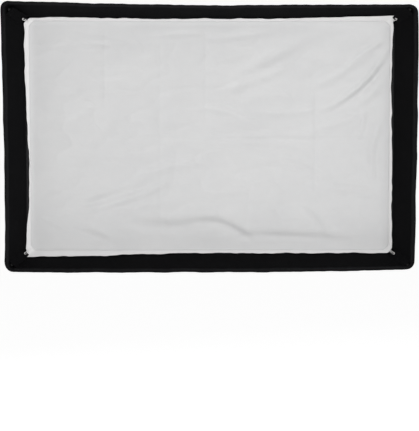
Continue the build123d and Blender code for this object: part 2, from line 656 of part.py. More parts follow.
def make_lever(start):
    """A brass insert on the bolt's thread, and over it a sprung handle that lifts off to be re-set."""
    rim_length, insert_length, web_thick, lift = 3, 12, 2.0, 11.5
    insert = tube(on_pivot(start), (1, 0, 0), rim_length, 9, BOLT_R + RUNNING)
    insert += tube(on_pivot(start + rim_length), (1, 0, 0), insert_length - rim_length, 6, BOLT_R + RUNNING)
    insert += bar(on_pivot(start + insert_length), (1, 0, 0), 2, 6)
    insert -= bar(on_pivot(start + insert_length - OVERRUN), (1, 0, 0), 5, 2.5)
    write("lever_insert", insert)

    web_start = start + insert_length + 3.5
    head_start = web_start + web_thick + 9.0
    screw_start = start + insert_length - 0.5
    screw = bar(on_pivot(screw_start), (1, 0, 0), head_start - screw_start, 2.48)
    head = bar(on_pivot(head_start), (1, 0, 0), 2.6, 5.2)
    head -= Pos(head_start + 2.6, 0, PIVOT_Z) * Box(2.0, 1.2, 12)
    write("lever_screw", screw + head)

    turns, wire, coil_r, end_gap = 4, 0.45, 3.9, 0.2
    height = head_start - web_start - web_thick - 2 * (wire + end_gap)
    coil = Helix(pitch=height / turns, height=height, radius=coil_r)
    section = Plane(origin=coil @ 0, z_dir=coil % 0) * Circle(wire)
    spring = sweep(section, path=coil, is_frenet=True)
    at = on_pivot(web_start + web_thick + wire + end_gap)
    write("lever_spring", Plane(origin=at, x_dir=(0, 1, 0), z_dir=(1, 0, 0)) * spring)

    hub_start, hub_end = start + rim_length + AIR, web_start + web_thick + lift
    handle = bar(on_pivot(hub_start), (1, 0, 0), hub_end - hub_start, 11)
    handle += lever_arm(start + 8, start + 20)
    handle -= bar(on_pivot(hub_start - AIR), (1, 0, 0), web_start - hub_start + AIR, 6.15)
    handle -= bar(on_pivot(web_start - OVERRUN), (1, 0, 0), 6, 3.2)
    handle -= bar(on_pivot(web_start + web_thick), (1, 0, 0), 20, 6.0)
    write("tilt_lever", handle)


def lever_arm(root_x, tip_x):
    """The tapering handle, leaning up and back, with a round end."""
    reach = Vector(0, 0.64, 0.77).normalized()
    side = Vector(0, -reach.Z, reach.Y)
    length, root_section, tip_section, end_r = 52, (8.0, 5.0), (5.5, 4.0), 6.5
    tip = on_pivot(tip_x) + reach * length
    thick_end = Plane(origin=on_pivot(root_x) + reach * 2, x_dir=side, z_dir=reach) * Ellipse(*root_section)
    thin_end = Plane(origin=tip, x_dir=side, z_dir=reach) * Ellipse(*tip_section)
    return loft([thick_end, thin_end]) + Pos(*tip) * Sphere(end_r)


def make_stand_lock():
    """The thumb screw that clamps the stand's stud, with a brass pad at its tip."""
    def on_screw(y):
        return Vector(0, start + y, STAND_SCREW_Z)

    start = STUD_R + AIR
    pad_length, screw_length, screw_r = 4, 28, STAND_SCREW_R - THREAD_GAP
    knob_start, knob_length, knob_r, lobes = 28, 16, 19, 5
    neck_start, neck_length, neck_r = 25, 4, 8
    write("stand_lock_pad", bar(on_screw(0), (0, 1, 0), pad_length, screw_r))
    write("stand_lock_screw", bar(on_screw(pad_length), (0, 1, 0), screw_length, screw_r))
    knob = star_knob(on_screw(knob_start), (0, 1, 0), knob_length, knob_r, lobes)
    knob += tube(on_screw(neck_start), (0, 1, 0), neck_length, neck_r, STAND_SCREW_R)
    knob -= bar(on_screw(neck_start - OVERRUN), (0, 1, 0), 8, screw_r)
    write("stand_lock_knob", knob)


make_cloth()
make_lip_binding()
make_corner_piping()
make_corner_pockets()
make_rod_keepers()
make_loop_tapes()
make_front_diffuser()
make_corner_loops()
make_rods()
make_baffle()
make_speed_ring()
make_collar()
make_roll_lock()
make_tilt_arm()
make_receiver()
make_pivot()
make_stand_lock()
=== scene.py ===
from math import atan, cos, pi, radians, sin

import bpy
import numpy as np
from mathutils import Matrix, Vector, noise


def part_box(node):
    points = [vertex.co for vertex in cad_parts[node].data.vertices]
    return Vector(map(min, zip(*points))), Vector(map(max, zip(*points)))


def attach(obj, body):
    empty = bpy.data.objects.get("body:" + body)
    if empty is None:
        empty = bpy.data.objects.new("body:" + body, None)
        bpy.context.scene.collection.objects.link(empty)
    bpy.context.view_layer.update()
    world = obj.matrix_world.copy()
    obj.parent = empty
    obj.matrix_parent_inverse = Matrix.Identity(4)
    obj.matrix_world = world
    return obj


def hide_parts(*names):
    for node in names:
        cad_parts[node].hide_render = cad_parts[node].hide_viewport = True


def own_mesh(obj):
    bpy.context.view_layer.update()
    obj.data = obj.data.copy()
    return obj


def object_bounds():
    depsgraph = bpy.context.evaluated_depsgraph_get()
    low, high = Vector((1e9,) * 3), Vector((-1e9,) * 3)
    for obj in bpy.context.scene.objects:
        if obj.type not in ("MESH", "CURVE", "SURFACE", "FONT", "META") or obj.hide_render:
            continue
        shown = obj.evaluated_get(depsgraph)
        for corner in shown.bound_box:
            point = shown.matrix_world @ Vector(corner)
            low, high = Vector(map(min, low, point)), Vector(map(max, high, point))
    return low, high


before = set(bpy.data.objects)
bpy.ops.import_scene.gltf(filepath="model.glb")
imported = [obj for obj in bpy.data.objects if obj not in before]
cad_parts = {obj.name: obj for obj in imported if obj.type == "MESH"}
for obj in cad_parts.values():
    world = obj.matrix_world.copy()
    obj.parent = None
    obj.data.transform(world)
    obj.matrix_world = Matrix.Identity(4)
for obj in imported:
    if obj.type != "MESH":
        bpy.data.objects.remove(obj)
cad_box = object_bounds()
bpy.ops.object.select_all(action="DESELECT")


# ---- Viewpoint ----
# A long lens about five metres in front of the box and a little above it, looking slightly down, so that
# the box sits in the upper part of the frame with its lit face square on.
low, high = cad_box
face_centre = Vector(((low[0] + high[0]) / 2, low[1],
                      (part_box("lip_top")[1][2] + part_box("lip_bottom")[0][2]) / 2))
camera_distance = 5.0
camera_rise = radians(4.5)
lens_mm, sensor_mm, frame_long_side = 188.4, 36.0, 431
face_above_centre = 77.0  # in frame heights of 431
focal = lens_mm / sensor_mm * frame_long_side
look_down = camera_rise + atan(face_above_centre / focal)

camera_data = bpy.data.cameras.new("studio_camera")
camera_data.lens = lens_mm
camera_data.sensor_width = sensor_mm
camera_data.clip_end = 400
camera = bpy.data.objects.new("studio_camera", camera_data)
bpy.context.scene.collection.objects.link(camera)
camera.location = face_centre + camera_distance * Vector((0, -cos(camera_rise), sin(camera_rise)))
camera.rotation_euler = (pi / 2 - look_down, 0, 0)
bpy.context.scene.camera = camera
bpy.context.scene.view_settings.view_transform = "Standard"


# ---- Studio: pale floor, white surroundings, one large soft light and a weaker one ----
# The floor is matt and bright enough to read as white; the box hangs well above it, as on a raised stand.
floor_drop = 1.5
bpy.ops.mesh.primitive_plane_add(size=240, location=(0, 0, face_centre.z - floor_drop))
floor = bpy.context.object
floor.name = "studio_floor"
bpy.ops.object.transform_apply(location=True, rotation=True, scale=True)
floor_material = bpy.data.materials.new("matt_floor")
floor_material.use_nodes = True
floor_bsdf = floor_material.node_tree.nodes["Principled BSDF"]
floor_bsdf.inputs["Base Color"].default_value = (0.9, 0.9, 0.9, 1)
floor_bsdf.inputs["Roughness"].default_value = 0.9
floor_bsdf.inputs["Specular IOR Level"].default_value = 0.1
floor_bsdf.inputs["Emission Color"].default_value = (1, 1, 1, 1)
floor_bsdf.inputs["Emission Strength"].default_value = 0.46
floor.data.materials.append(floor_material)

world = bpy.data.worlds.new("studio_surroundings")
bpy.context.scene.world = world
world.use_nodes = True
air, air_links = world.node_tree.nodes, world.node_tree.links
air["Background"].inputs["Strength"].default_value = 0.56
seen = air.new("ShaderNodeBackground")
seen.inputs["Strength"].default_value = 1.05
for background in (air["Background"], seen):
    background.inputs["Color"].default_value = (1, 1, 1, 1)
ray = air.new("ShaderNodeLightPath")
choose = air.new("ShaderNodeMixShader")
air_links.new(ray.outputs["Is Camera Ray"], choose.inputs[0])
air_links.new(air["Background"].outputs[0], choose.inputs[1])
air_links.new(seen.outputs[0], choose.inputs[2])
air_links.new(choose.outputs[0], air["World Output"].inputs["Surface"])


def soft_light(name, place, size, power):
    """A square light panel aimed at the face of the box."""
    data = bpy.data.lights.new(name, "AREA")
    data.size = size
    data.energy = power
    lamp = bpy.data.objects.new(name, data)
    bpy.context.scene.collection.objects.link(lamp)
    lamp.location = face_centre + Vector(place)
    lamp.rotation_euler = (face_centre - lamp.location).to_track_quat("-Z", "Y").to_euler()


soft_light("key_light", (2.6, -3.0, 1.6), 1.6, 62)
soft_light("fill_light", (-3.0, -2.6, 1.4), 2.0, 14)
soft_light("back_light", (-1.5, 3.2, 2.2), 2.0, 60)


# ---- Outer shell ----
# Four panels of black coated nylon, flared from the ring to the lip and sewn together along the four
# rods. The rods spring the corners outwards, so each panel is drawn tight and pulls in a little between
# them.
def deep(y):
    """Depth in front of the ring plate of a place in the frame."""
    return ring_y - y


ring_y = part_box("ring_plate")[0][1]
ring_z = (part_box("ring_plate")[0][2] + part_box("ring_plate")[1][2]) / 2
shell_start, shell_end = deep(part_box("shell_top")[1][1]), deep(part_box("shell_top")[0][1])
lip_end = deep(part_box("lip_top")[0][1])
cloth_thick = 0.0008
known_depths = (shell_start, shell_end, lip_end)
half_widths = (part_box("shell_right")[0][0] + cloth_thick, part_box("shell_top")[1][0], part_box("lip_top")[1][0])
half_heights = (
    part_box("shell_top")[0][2] - ring_z + cloth_thick,
    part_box("shell_top")[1][2] - ring_z,
    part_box("lip_top")[1][2] - ring_z,
)
wide_curve = np.polyfit(known_depths, half_widths, 2)
tall_curve = np.polyfit(known_depths, half_heights, 2)


def flare(depth):
    """Half width and half height of the cloth's outer face at a depth."""
    return np.polyval(wide_curve, depth), np.polyval(tall_curve, depth)


# One turn round a rectangle with rounded corners, anticlockwise from the bottom left corner. Each step
# holds the corner it leans on, its outward direction, and how far it is along its own side (-1 to 1).
WIDE_STEPS, TALL_STEPS, CORNER_STEPS = 116, 76, 6
SIDES = {"bottom": (0, -1), "right": (1, 0), "top": (0, 1), "left": (-1, 0)}
CORNERS = {"top_left": (-1, 1), "top_right": (1, 1), "bottom_left": (-1, -1), "bottom_right": (1, -1)}


def turn_round():
    corners = [(-1, -1), (1, -1), (1, 1), (-1, 1), (-1, -1)]
    steps = []
    for n in range(4):
        (x0, z0), (x1, z1) = corners[n], corners[n + 1]
        facing = radians(-90 + 90 * n)
        count = WIDE_STEPS if n % 2 == 0 else TALL_STEPS
        for i in range(count):
            t = i / count
            steps.append((x0 + (x1 - x0) * t, z0 + (z1 - z0) * t, cos(facing), sin(facing), 2 * t - 1))
        for i in range(CORNER_STEPS):
            a = facing + pi / 2 * i / CORNER_STEPS
            steps.append((x1, z1, cos(a), sin(a), 1.0))
    return np.array(steps + steps[:1])


around = turn_round()
AROUND = len(around) - 1


def steps_at(u):
    """The steps round the hoop nearest to u, which runs once round."""
    return around[np.rint(u * AROUND).astype(int)]


def side_steps(facing, along):
    """Steps on one straight side, which faces (x, z), at places from -1 to 1 along it."""
    fx, fz = facing
    same = np.ones_like(along)
    return np.stack([fx - along * fz, fz + along * fx, same * fx, same * fz, along], 1)


def hoop(step, depth, corner_radius, inset):
    """Points on the flared sleeve at some steps; depth and inset may change from point to point."""
    wide, tall = flare(depth)
    radius = np.maximum(corner_radius - inset, 0.0005)
    x = step[:, 0] * (wide - inset - radius) + step[:, 2] * radius
    z = step[:, 1] * (tall - inset - radius) + step[:, 3] * radius
    return np.stack([x, ring_y - depth, ring_z + z], 1)


def move_in(points, step, distance):
    """Moves points of a hoop inwards, square to their own side."""
    points[:, 0] -= step[:, 2] * distance
    points[:, 2] -= step[:, 3] * distance


def ripple(points, size, seed=0.0):
    """Smooth natural unevenness between about -1 and 1, with swells of the given size in metres."""
    shift = Vector((seed, 3.1 * seed, -1.7 * seed))
    return np.array([noise.noise(Vector(p) / size + shift) for p in points]) * 1.7


def cloth_piece(name, columns, rows, shape, metres, closed=False, thick=cloth_thick, outside=-1.0, finish=0):
    """A cloth sheet from a grid: shape(u, v) places its points, and its UV map is in metres along the
    threads."""
    bpy.ops.object.select_all(action="DESELECT")
    bpy.ops.mesh.primitive_grid_add(x_subdivisions=columns, y_subdivisions=rows, size=2, calc_uvs=True)
    piece = bpy.context.object
    piece.name = name
    mesh = piece.data
    mesh.name = name
    flat = np.empty(len(mesh.vertices) * 3)
    mesh.vertices.foreach_get("co", flat)
    flat = flat.reshape(-1, 3)
    points = shape((flat[:, 0] + 1) / 2, (flat[:, 1] + 1) / 2)
    mesh.vertices.foreach_set("co", points.ravel())
    threads = np.empty(len(mesh.loops) * 2)
    mesh.uv_layers[0].data.foreach_get("uv", threads)
    threads = threads.reshape(-1, 2) * np.array(metres)
    mesh.uv_layers[0].data.foreach_set("uv", threads.ravel())
    mesh.uv_layers[0].name = "threads"
    mesh.update()
    if closed:
        bpy.ops.object.mode_set(mode="EDIT")
        bpy.ops.mesh.select_all(action="SELECT")
        bpy.ops.mesh.remove_doubles(threshold=0.00002)
        bpy.ops.object.mode_set(mode="OBJECT")
    if thick:
        solid = piece.modifiers.new("thickness", "SOLIDIFY")
        solid.thickness = thick
        solid.offset = outside
        bpy.ops.object.modifier_apply(modifier=solid.name)
    if finish:
        smooth = piece.modifiers.new("finish", "SUBSURF")
        smooth.levels = smooth.render_levels = finish
        bpy.ops.object.modifier_apply(modifier=smooth.name)
    bpy.ops.object.shade_smooth()
    piece.select_set(False)
    return piece


def group_of(name, inputs, outputs):
    """A shader node group with named inputs (name: value) and outputs (name: socket type)."""
    tree = bpy.data.node_groups.new(name, "ShaderNodeTree")
    for label, value in inputs.items():
        kind = "NodeSocketVector" if value is None else "NodeSocketFloat"
        socket = tree.interface.new_socket(label, in_out="INPUT", socket_type=kind)
        if value is not None:
            socket.default_value = value
    for label, kind in outputs.items():
        tree.interface.new_socket(label, in_out="OUTPUT", socket_type=kind)
    enter, leave = tree.nodes.new("NodeGroupInput"), tree.nodes.new("NodeGroupOutput")
    return tree, enter, leave


def calc(tree, operation, *values):
    """A Math node; each value is a number or an output socket."""
    node = tree.nodes.new("ShaderNodeMath")
    node.operation = operation
    for n, value in enumerate(values):
        if isinstance(value, (int, float)):
            node.inputs[n].default_value = value
        else:
            tree.links.new(value, node.inputs[n])
    return node.outputs[0]


def scaled(tree, vector, size):
    """A vector divided by a size, for patterns that repeat at that size."""
    node = tree.nodes.new("ShaderNodeVectorMath")
    node.operation = "SCALE"
    tree.links.new(vector, node.inputs[0])
    if isinstance(size, (int, float)):
        node.inputs["Scale"].default_value = 1 / size
    else:
        tree.links.new(calc(tree, "DIVIDE", 1.0, size), node.inputs["Scale"])
    return node.outputs[0]


def cloud(tree, vector, scale, detail=3.0, rough=0.55):
    """A noise pattern's value."""
    node = tree.nodes.new("ShaderNodeTexNoise")
    tree.links.new(vector, node.inputs["Vector"])
    node.inputs["Scale"].default_value = scale
    node.inputs["Detail"].default_value = detail
    node.inputs["Roughness"].default_value = rough
    return node.outputs["Fac"]


def make_weave():
    """Plain weave: threads cross over and under, some thicker than others, with slubs and soft blotches and
    streaks of tone.
    """
    tree, enter, leave = group_of(
        "plain_weave",
        {"Threads": None, "Place": None, "Thread Size": 0.0006, "Unevenness": 0.3},
        {"Height": "NodeSocketFloat", "Tone": "NodeSocketFloat"},
    )
    grid = scaled(tree, enter.outputs["Threads"], enter.outputs["Thread Size"])
    parts = tree.nodes.new("ShaderNodeSeparateXYZ")
    tree.links.new(grid, parts.inputs[0])
    warp = calc(tree, "ABSOLUTE", calc(tree, "SINE", calc(tree, "MULTIPLY", parts.outputs[0], pi)))
    weft = calc(tree, "ABSOLUTE", calc(tree, "SINE", calc(tree, "MULTIPLY", parts.outputs[1], pi)))
    square = calc(tree, "ADD", calc(tree, "FLOOR", parts.outputs[0]), calc(tree, "FLOOR", parts.outputs[1]))
    over = calc(tree, "PINGPONG", square, 1.0)
    mix = calc(tree, "ADD", calc(tree, "MULTIPLY", warp, over),
               calc(tree, "MULTIPLY", weft, calc(tree, "SUBTRACT", 1.0, over)))
    slub = calc(tree, "MULTIPLY", cloud(tree, enter.outputs["Place"], 420.0, 2.0),
                enter.outputs["Unevenness"])
    height = calc(tree, "ADD", mix, slub)
    blotch = cloud(tree, enter.outputs["Place"], 9.0, 4.0)
    streak = cloud(tree, enter.outputs["Place"], 70.0, 3.0)
    tone = calc(tree, "ADD", calc(tree, "MULTIPLY", blotch, 0.55),
                calc(tree, "ADD", calc(tree, "MULTIPLY", streak, 0.25), calc(tree, "MULTIPLY", mix, 0.2)))
    tree.links.new(height, leave.inputs["Height"])
    tree.links.new(tone, leave.inputs["Tone"])
    return tree


plain_weave = make_weave()


class Finish:
    """A material being put together: its tree, its Principled shader and its coordinates."""

    def __init__(self, name):
        self.material = bpy.data.materials.new(name)
        self.material.use_nodes = True
        self.tree = self.material.node_tree
        self.bsdf = self.tree.nodes["Principled BSDF"]
        coords = self.tree.nodes.new("ShaderNodeTexCoord")
        self.place = coords.outputs["Object"]
        self.threads = coords.outputs["UV"]

    def constants(self, **values):
        for label, value in values.items():
            self.bsdf.inputs[label.replace("_", " ")].default_value = value

    def use(self, group, **values):
        node = self.tree.nodes.new("ShaderNodeGroup")
        node.node_tree = group
        for label, value in values.items():
            socket = node.inputs[label.replace("_", " ")]
            if isinstance(value, (int, float)):
                socket.default_value = value
            else:
                self.tree.links.new(value, socket)
        return node

    def colour(self, tone, *stops):
        ramp = self.tree.nodes.new("ShaderNodeValToRGB")
        ramp.color_ramp.elements[0].position = stops[0][0]
        ramp.color_ramp.elements[0].color = (*stops[0][1], 1)
        ramp.color_ramp.elements[1].position = stops[-1][0]
        ramp.color_ramp.elements[1].color = (*stops[-1][1], 1)
        for position, shade in stops[1:-1]:
            ramp.color_ramp.elements.new(position).color = (*shade, 1)
        self.tree.links.new(tone, ramp.inputs[0])
        self.tree.links.new(ramp.outputs[0], self.bsdf.inputs["Base Color"])

    def roughness(self, tone, least, most):
        spread = self.tree.nodes.new("ShaderNodeMapRange")
        spread.inputs["To Min"].default_value = least
        spread.inputs["To Max"].default_value = most
        self.tree.links.new(tone, spread.inputs["Value"])
        self.tree.links.new(spread.outputs[0], self.bsdf.inputs["Roughness"])

    def relief(self, height, distance, strength=1.0):
        bump = self.tree.nodes.new("ShaderNodeBump")
        bump.inputs["Distance"].default_value = distance
        bump.inputs["Strength"].default_value = strength
        self.tree.links.new(height, bump.inputs["Height"])
        self.tree.links.new(bump.outputs[0], self.bsdf.inputs["Normal"])


def cloth_finish(name, dark, light, thread, relief, rough=(0.75, 0.95), sheen=0.1, uneven=0.3):
    finish = Finish(name)
    weave = finish.use(plain_weave, Threads=finish.threads, Place=finish.place, Thread_Size=thread,
                       Unevenness=uneven)
    finish.colour(weave.outputs["Tone"], (0.25, dark), (0.7, light))
    finish.roughness(weave.outputs["Tone"], *rough)
    finish.relief(weave.outputs["Height"], relief)
    finish.constants(Specular_IOR_Level=0.25, Sheen_Weight=sheen, Sheen_Roughness=0.45)
    return finish


black_nylon = cloth_finish("black_nylon_cloth", (0.005, 0.005, 0.0056), (0.010, 0.010, 0.0112), 0.0007,
                           0.00012, sheen=0.04)


def taut(step, share, wide_pull, tall_pull):
    """How far a panel pulls in between its two rods, most in the middle of its length."""
    across = 1 - np.minimum(np.abs(step[:, 4]), 1) ** 2.2
    flat_side = np.abs(step[:, 3]) > 0.9
    return across * np.sin(pi * np.clip(share, 0, 1)) ** 0.7 * np.where(flat_side, wide_pull, tall_pull)


def pull_folds(step, share):
    """Shallow folds that run from the ring towards the lip, strongest where the cloth is gathered at
    the rear."""
    side = np.abs(step[:, 4])
    fold = np.sin(step[:, 4] * 13.0 + 1.3 * step[:, 0]) * np.exp(-share * 3.2)
    drag = np.sin((side * 9.0 + share * 5.0) * pi) * np.exp(-((side - 0.93) / 0.08) ** 2)
    return (0.0016 * fold + 0.0007 * drag) * (1 - side**8)


SEAM_RADIUS = 0.006


def shell_points(u, v, inset=0.0):
    depth = shell_start + (shell_end - shell_start) * v
    step = steps_at(u)
    pulled = taut(step, v, 0.010, 0.008) + pull_folds(step, v)
    points = hoop(step, depth, SEAM_RADIUS, inset)
    swell = ripple(points, 0.13, 2.0) * 0.0014 + ripple(points, 0.045, 5.0) * 0.0005
    held = np.clip(np.minimum(v, 1 - v) / 0.05, 0, 1) * (1 - np.abs(step[:, 4]) ** 12)
    move_in(points, step, (pulled + swell) * held)
    return points


turn_metres = 2.1
shell_cloth = cloth_piece("shell_cloth", AROUND, 44, shell_points, (turn_metres, 0.42), closed=True,
                          outside=-1.0)
shell_cloth.data.materials.append(black_nylon.material)
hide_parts("shell_top", "shell_bottom", "shell_left", "shell_right")
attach(shell_cloth, "softbox")


# ---- Corner piping ----
# Black corded piping caught in the four long seams of the shell: a cord in a bias strip, standing just
# proud.
def round_cord(name, path, radius, sides=10, lay=0.0):
    """A round cord along a path of points. Its UV map is in metres, along and round it, and its ends
    are closed."""
    path = np.asarray(path)
    run = np.gradient(path, axis=0)
    run /= np.linalg.norm(run, axis=1)[:, None]
    side = np.cross(run, (0.13, 0.31, 0.94))
    side /= np.linalg.norm(side, axis=1)[:, None]
    up = np.cross(run, side)
    length = np.linalg.norm(np.diff(path, axis=0), axis=1).sum()

    def place(u, v):
        at = np.rint(v * (len(path) - 1)).astype(int)
        angle = 2 * pi * u
        swell = radius * (1 + lay * np.sin(3 * angle + v * length / radius * 1.1))
        return path[at] + (side[at] * np.cos(angle)[:, None] + up[at] * np.sin(angle)[:, None]) * swell[:,
            None]

    piece = cloth_piece(name, sides, len(path) - 1, place, (2 * pi * radius, length), closed=True, thick=0)
    bpy.context.view_layer.objects.active = piece
    piece.select_set(True)
    bpy.ops.object.mode_set(mode="EDIT")
    bpy.ops.mesh.select_mode(type="EDGE")
    bpy.ops.mesh.select_all(action="DESELECT")
    bpy.ops.mesh.select_non_manifold()
    bpy.ops.mesh.fill()
    bpy.ops.mesh.select_all(action="SELECT")
    bpy.ops.mesh.normals_make_consistent(inside=False)
    bpy.ops.object.mode_set(mode="OBJECT")
    piece.select_set(False)
    return piece


def make_braid():
    """Braided or twisted yarn: two sets of slanting strands that cross, with a little fuzz."""
    tree, enter, leave = group_of(
        "braided_yarn",
        {"Threads": None, "Place": None, "Strand Size": 0.0008},
        {"Height": "NodeSocketFloat", "Tone": "NodeSocketFloat"},
    )
    parts = tree.nodes.new("ShaderNodeSeparateXYZ")
    tree.links.new(scaled(tree, enter.outputs["Threads"], enter.outputs["Strand Size"]), parts.inputs[0])
    rising = calc(tree, "ADD", parts.outputs[0], parts.outputs[1])
    falling = calc(tree, "SUBTRACT", parts.outputs[0], parts.outputs[1])
    one = calc(tree, "ABSOLUTE", calc(tree, "SINE", calc(tree, "MULTIPLY", rising, pi / 2)))
    other = calc(tree, "ABSOLUTE", calc(tree, "SINE", calc(tree, "MULTIPLY", falling, pi / 2)))
    strands = calc(tree, "MAXIMUM", one, other)
    fuzz = cloud(tree, enter.outputs["Place"], 260.0, 2.0)
    tree.links.new(calc(tree, "ADD", strands, calc(tree, "MULTIPLY", fuzz, 0.4)), leave.inputs["Height"])
    tree.links.new(calc(tree, "ADD", calc(tree, "MULTIPLY", strands, 0.5), calc(tree, "MULTIPLY", fuzz, 0.5)),
                   leave.inputs["Tone"])
    return tree


braided_yarn = make_braid()


def yarn_finish(name, dark, light, strand=0.0008):
    finish = Finish(name)
    braid = finish.use(braided_yarn, Threads=finish.threads, Place=finish.place, Strand_Size=strand)
    finish.colour(braid.outputs["Tone"], (0.25, dark), (0.8, light))
    finish.roughness(braid.outputs["Tone"], 0.75, 0.95)
    finish.relief(braid.outputs["Height"], 0.00025)
    finish.constants(Specular_IOR_Level=0.2)
    return finish


PIPING_RADIUS, PIPING_STAND_OFF = 0.0015, -0.0005
black_piping = yarn_finish("black_piping_strip", (0.005, 0.005, 0.006), (0.014, 0.014, 0.016), 0.0011)
for corner, (sx, sz) in CORNERS.items():
    depths = np.linspace(shell_start + 0.003, shell_end - 0.003, 60)
    wide, tall = flare(depths)
    off = PIPING_STAND_OFF + 0.00025 * np.sin(depths * 160)
    seam_path = np.stack([sx * (wide + off), ring_y - depths, ring_z + sz * (tall + off)], 1)
    piping = round_cord(f"corner_piping_{corner}", seam_path, PIPING_RADIUS)
    piping.data.materials.append(black_piping.material)
    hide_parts("corner_piping")
    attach(piping, "softbox")


# ---- Shell stitching ----
# Two rows of black lockstitch hold the shell to the lip.
def stitch_row(name, path, material, body, pitch=0.0036):
    """A row of stitches along a path: one stitch is modelled, repeated, and bent along the path."""
    path = np.asarray(path)
    length = np.linalg.norm(np.diff(path, axis=0), axis=1).sum()
    line = bpy.data.curves.new(name + "_line", "CURVE")
    line.dimensions = "3D"
    spline = line.splines.new("POLY")
    spline.points.add(len(path) - 1)
    spline.points.foreach_set("co", np.hstack([path, np.ones((len(path), 1))]).ravel())
    guide = bpy.data.objects.new(name + "_line", line)
    bpy.context.scene.collection.objects.link(guide)
    bpy.ops.object.select_all(action="DESELECT")
    bpy.ops.mesh.primitive_cylinder_add(vertices=5, radius=STITCH_RADIUS, depth=pitch * 0.45,
                                        rotation=(0, pi / 2, 0))
    row = bpy.context.object
    row.name = row.data.name = name
    bpy.ops.object.transform_apply(location=True, rotation=True, scale=True)
    bpy.ops.object.mode_set(mode="EDIT")
    bpy.ops.mesh.select_mode(type="FACE")
    bpy.ops.mesh.select_all(action="DESELECT")
    bpy.ops.object.mode_set(mode="OBJECT")
    for face in row.data.polygons:
        face.select = len(face.vertices) == 5
    bpy.ops.object.mode_set(mode="EDIT")
    bpy.ops.mesh.inset(thickness=STITCH_RADIUS * 0.45, depth=pitch * 0.14, use_individual=True)
    bpy.ops.object.mode_set(mode="OBJECT")
    repeat = row.modifiers.new("repeat", "ARRAY")
    repeat.use_relative_offset = False
    repeat.use_constant_offset = True
    repeat.constant_offset_displace = (pitch, 0, 0)
    repeat.count = int(length / pitch)
    bpy.ops.object.modifier_apply(modifier=repeat.name)
    bend = row.modifiers.new("bend", "CURVE")
    bend.object = guide
    bpy.ops.object.modifier_apply(modifier=bend.name)
    bpy.ops.object.shade_smooth()
    row.select_set(False)
    bpy.data.objects.remove(guide)
    row.data.materials.append(material)
    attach(row, body)
    return row


STITCH_RADIUS = 0.00028
black_thread = yarn_finish("black_sewing_thread", (0.012, 0.012, 0.013), (0.035, 0.035, 0.038), 0.0003)
round_once = np.linspace(0, 1, AROUND + 1)
for n, share in enumerate((0.975, 0.988)):
    stitch_row(f"shell_stitches_{n + 1}", shell_points(round_once, np.full(AROUND + 1, share), -0.0003),
               black_thread.material, "softbox")


# ---- Lining ----
# Silver-coated cloth with a pebbled face, sewn in with the shell at every seam and following its shape just inside
# it.
def make_pebble():
    """Embossed foil: small uneven dimples and a soft crumple."""
    tree, enter, leave = group_of(
        "pebbled_foil",
        {"Place": None, "Dimple Size": 0.002},
        {"Height": "NodeSocketFloat", "Tone": "NodeSocketFloat"},
    )
    cells = tree.nodes.new("ShaderNodeTexVoronoi")
    tree.links.new(scaled(tree, enter.outputs["Place"], enter.outputs["Dimple Size"]), cells.inputs["Vector"])
    cells.inputs["Scale"].default_value = 1.0
    crumple = cloud(tree, enter.outputs["Place"], 30.0, 4.0)
    height = calc(tree, "ADD", cells.outputs["Distance"], calc(tree, "MULTIPLY", crumple, 1.5))
    tree.links.new(height, leave.inputs["Height"])
    tree.links.new(calc(tree, "ADD", calc(tree, "MULTIPLY", crumple, 0.7),
                        calc(tree, "MULTIPLY", cells.outputs["Distance"], 0.3)), leave.inputs["Tone"])
    return tree


silver = Finish("silver_lining_cloth")
foil = silver.use(make_pebble(), Place=silver.place, Dimple_Size=0.0022)
silver.colour(foil.outputs["Tone"], (0.2, (0.55, 0.56, 0.58)), (0.8, (0.80, 0.81, 0.83)))
silver.roughness(foil.outputs["Tone"], 0.28, 0.5)
silver.relief(foil.outputs["Height"], 0.0004, 0.8)
silver.constants(Metallic=0.85)


def lining_points(u, v):
    return shell_points(u, v, cloth_thick + 0.0003)


lining_cloth = cloth_piece("lining_cloth", AROUND, 44, lining_points, (turn_metres, 0.42), closed=True,
                           thick=0.0005)
lining_cloth.data.materials.append(silver.material)
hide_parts("lining_top", "lining_bottom", "lining_left", "lining_right")
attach(lining_cloth, "softbox")


# ---- Rod keepers ----
# Short bands of coarse black webbing sewn across the inside of each corner, which the rod is threaded
# behind.
def corner_wrap(corner, near, far, leg, gap, bulge, thick):
    """A band across one corner, from side to side over the rod, between two depths."""
    sx, sz = CORNERS[corner]

    def place(u, v):
        depth = near + (far - near) * v
        wide, tall = flare(depth)
        start, end, middle = np.array((leg, 0.0)), np.array((0.0, leg)), np.array((bulge, bulge))
        control = 2 * middle - (start + end) / 2
        weights = np.stack([(1 - u) ** 2, 2 * u * (1 - u), u**2], 1)
        across = weights @ np.stack([start, control, end])
        sag = 0.0005 * np.sin(5 * pi * v + 3 * u)
        x, z = wide - gap - across[:, 0] - sag, tall - gap - across[:, 1] - sag
        return np.stack([sx * x, ring_y - depth, ring_z + sz * z], 1)

    return cloth_piece(f"wrap_{corner}", 14, 16, place, (2 * leg, far - near), thick=thick, outside=0.0)


webbing = cloth_finish("black_corner_webbing", (0.004, 0.004, 0.0045), (0.011, 0.011, 0.012), 0.0014, 0.0003,
                       rough=(0.7, 0.9), sheen=0.0)
webbing.constants(Specular_IOR_Level=0.1)
KEEPER_DEPTHS = (0.120, 0.300)
KEEPER_WIDTH, KEEPER_LEG, KEEPER_BULGE = 0.026, 0.024, 0.0118
for corner in CORNERS:
    for n, near in enumerate(KEEPER_DEPTHS):
        keeper = corner_wrap(corner, near, near + KEEPER_WIDTH, KEEPER_LEG, 0.0019, KEEPER_BULGE, 0.0009)
        keeper.name = keeper.data.name = f"rod_keeper_{corner}_{n + 1}"
        keeper.data.materials.append(webbing.material)
        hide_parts("rod_keepers")
        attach(keeper, "softbox")


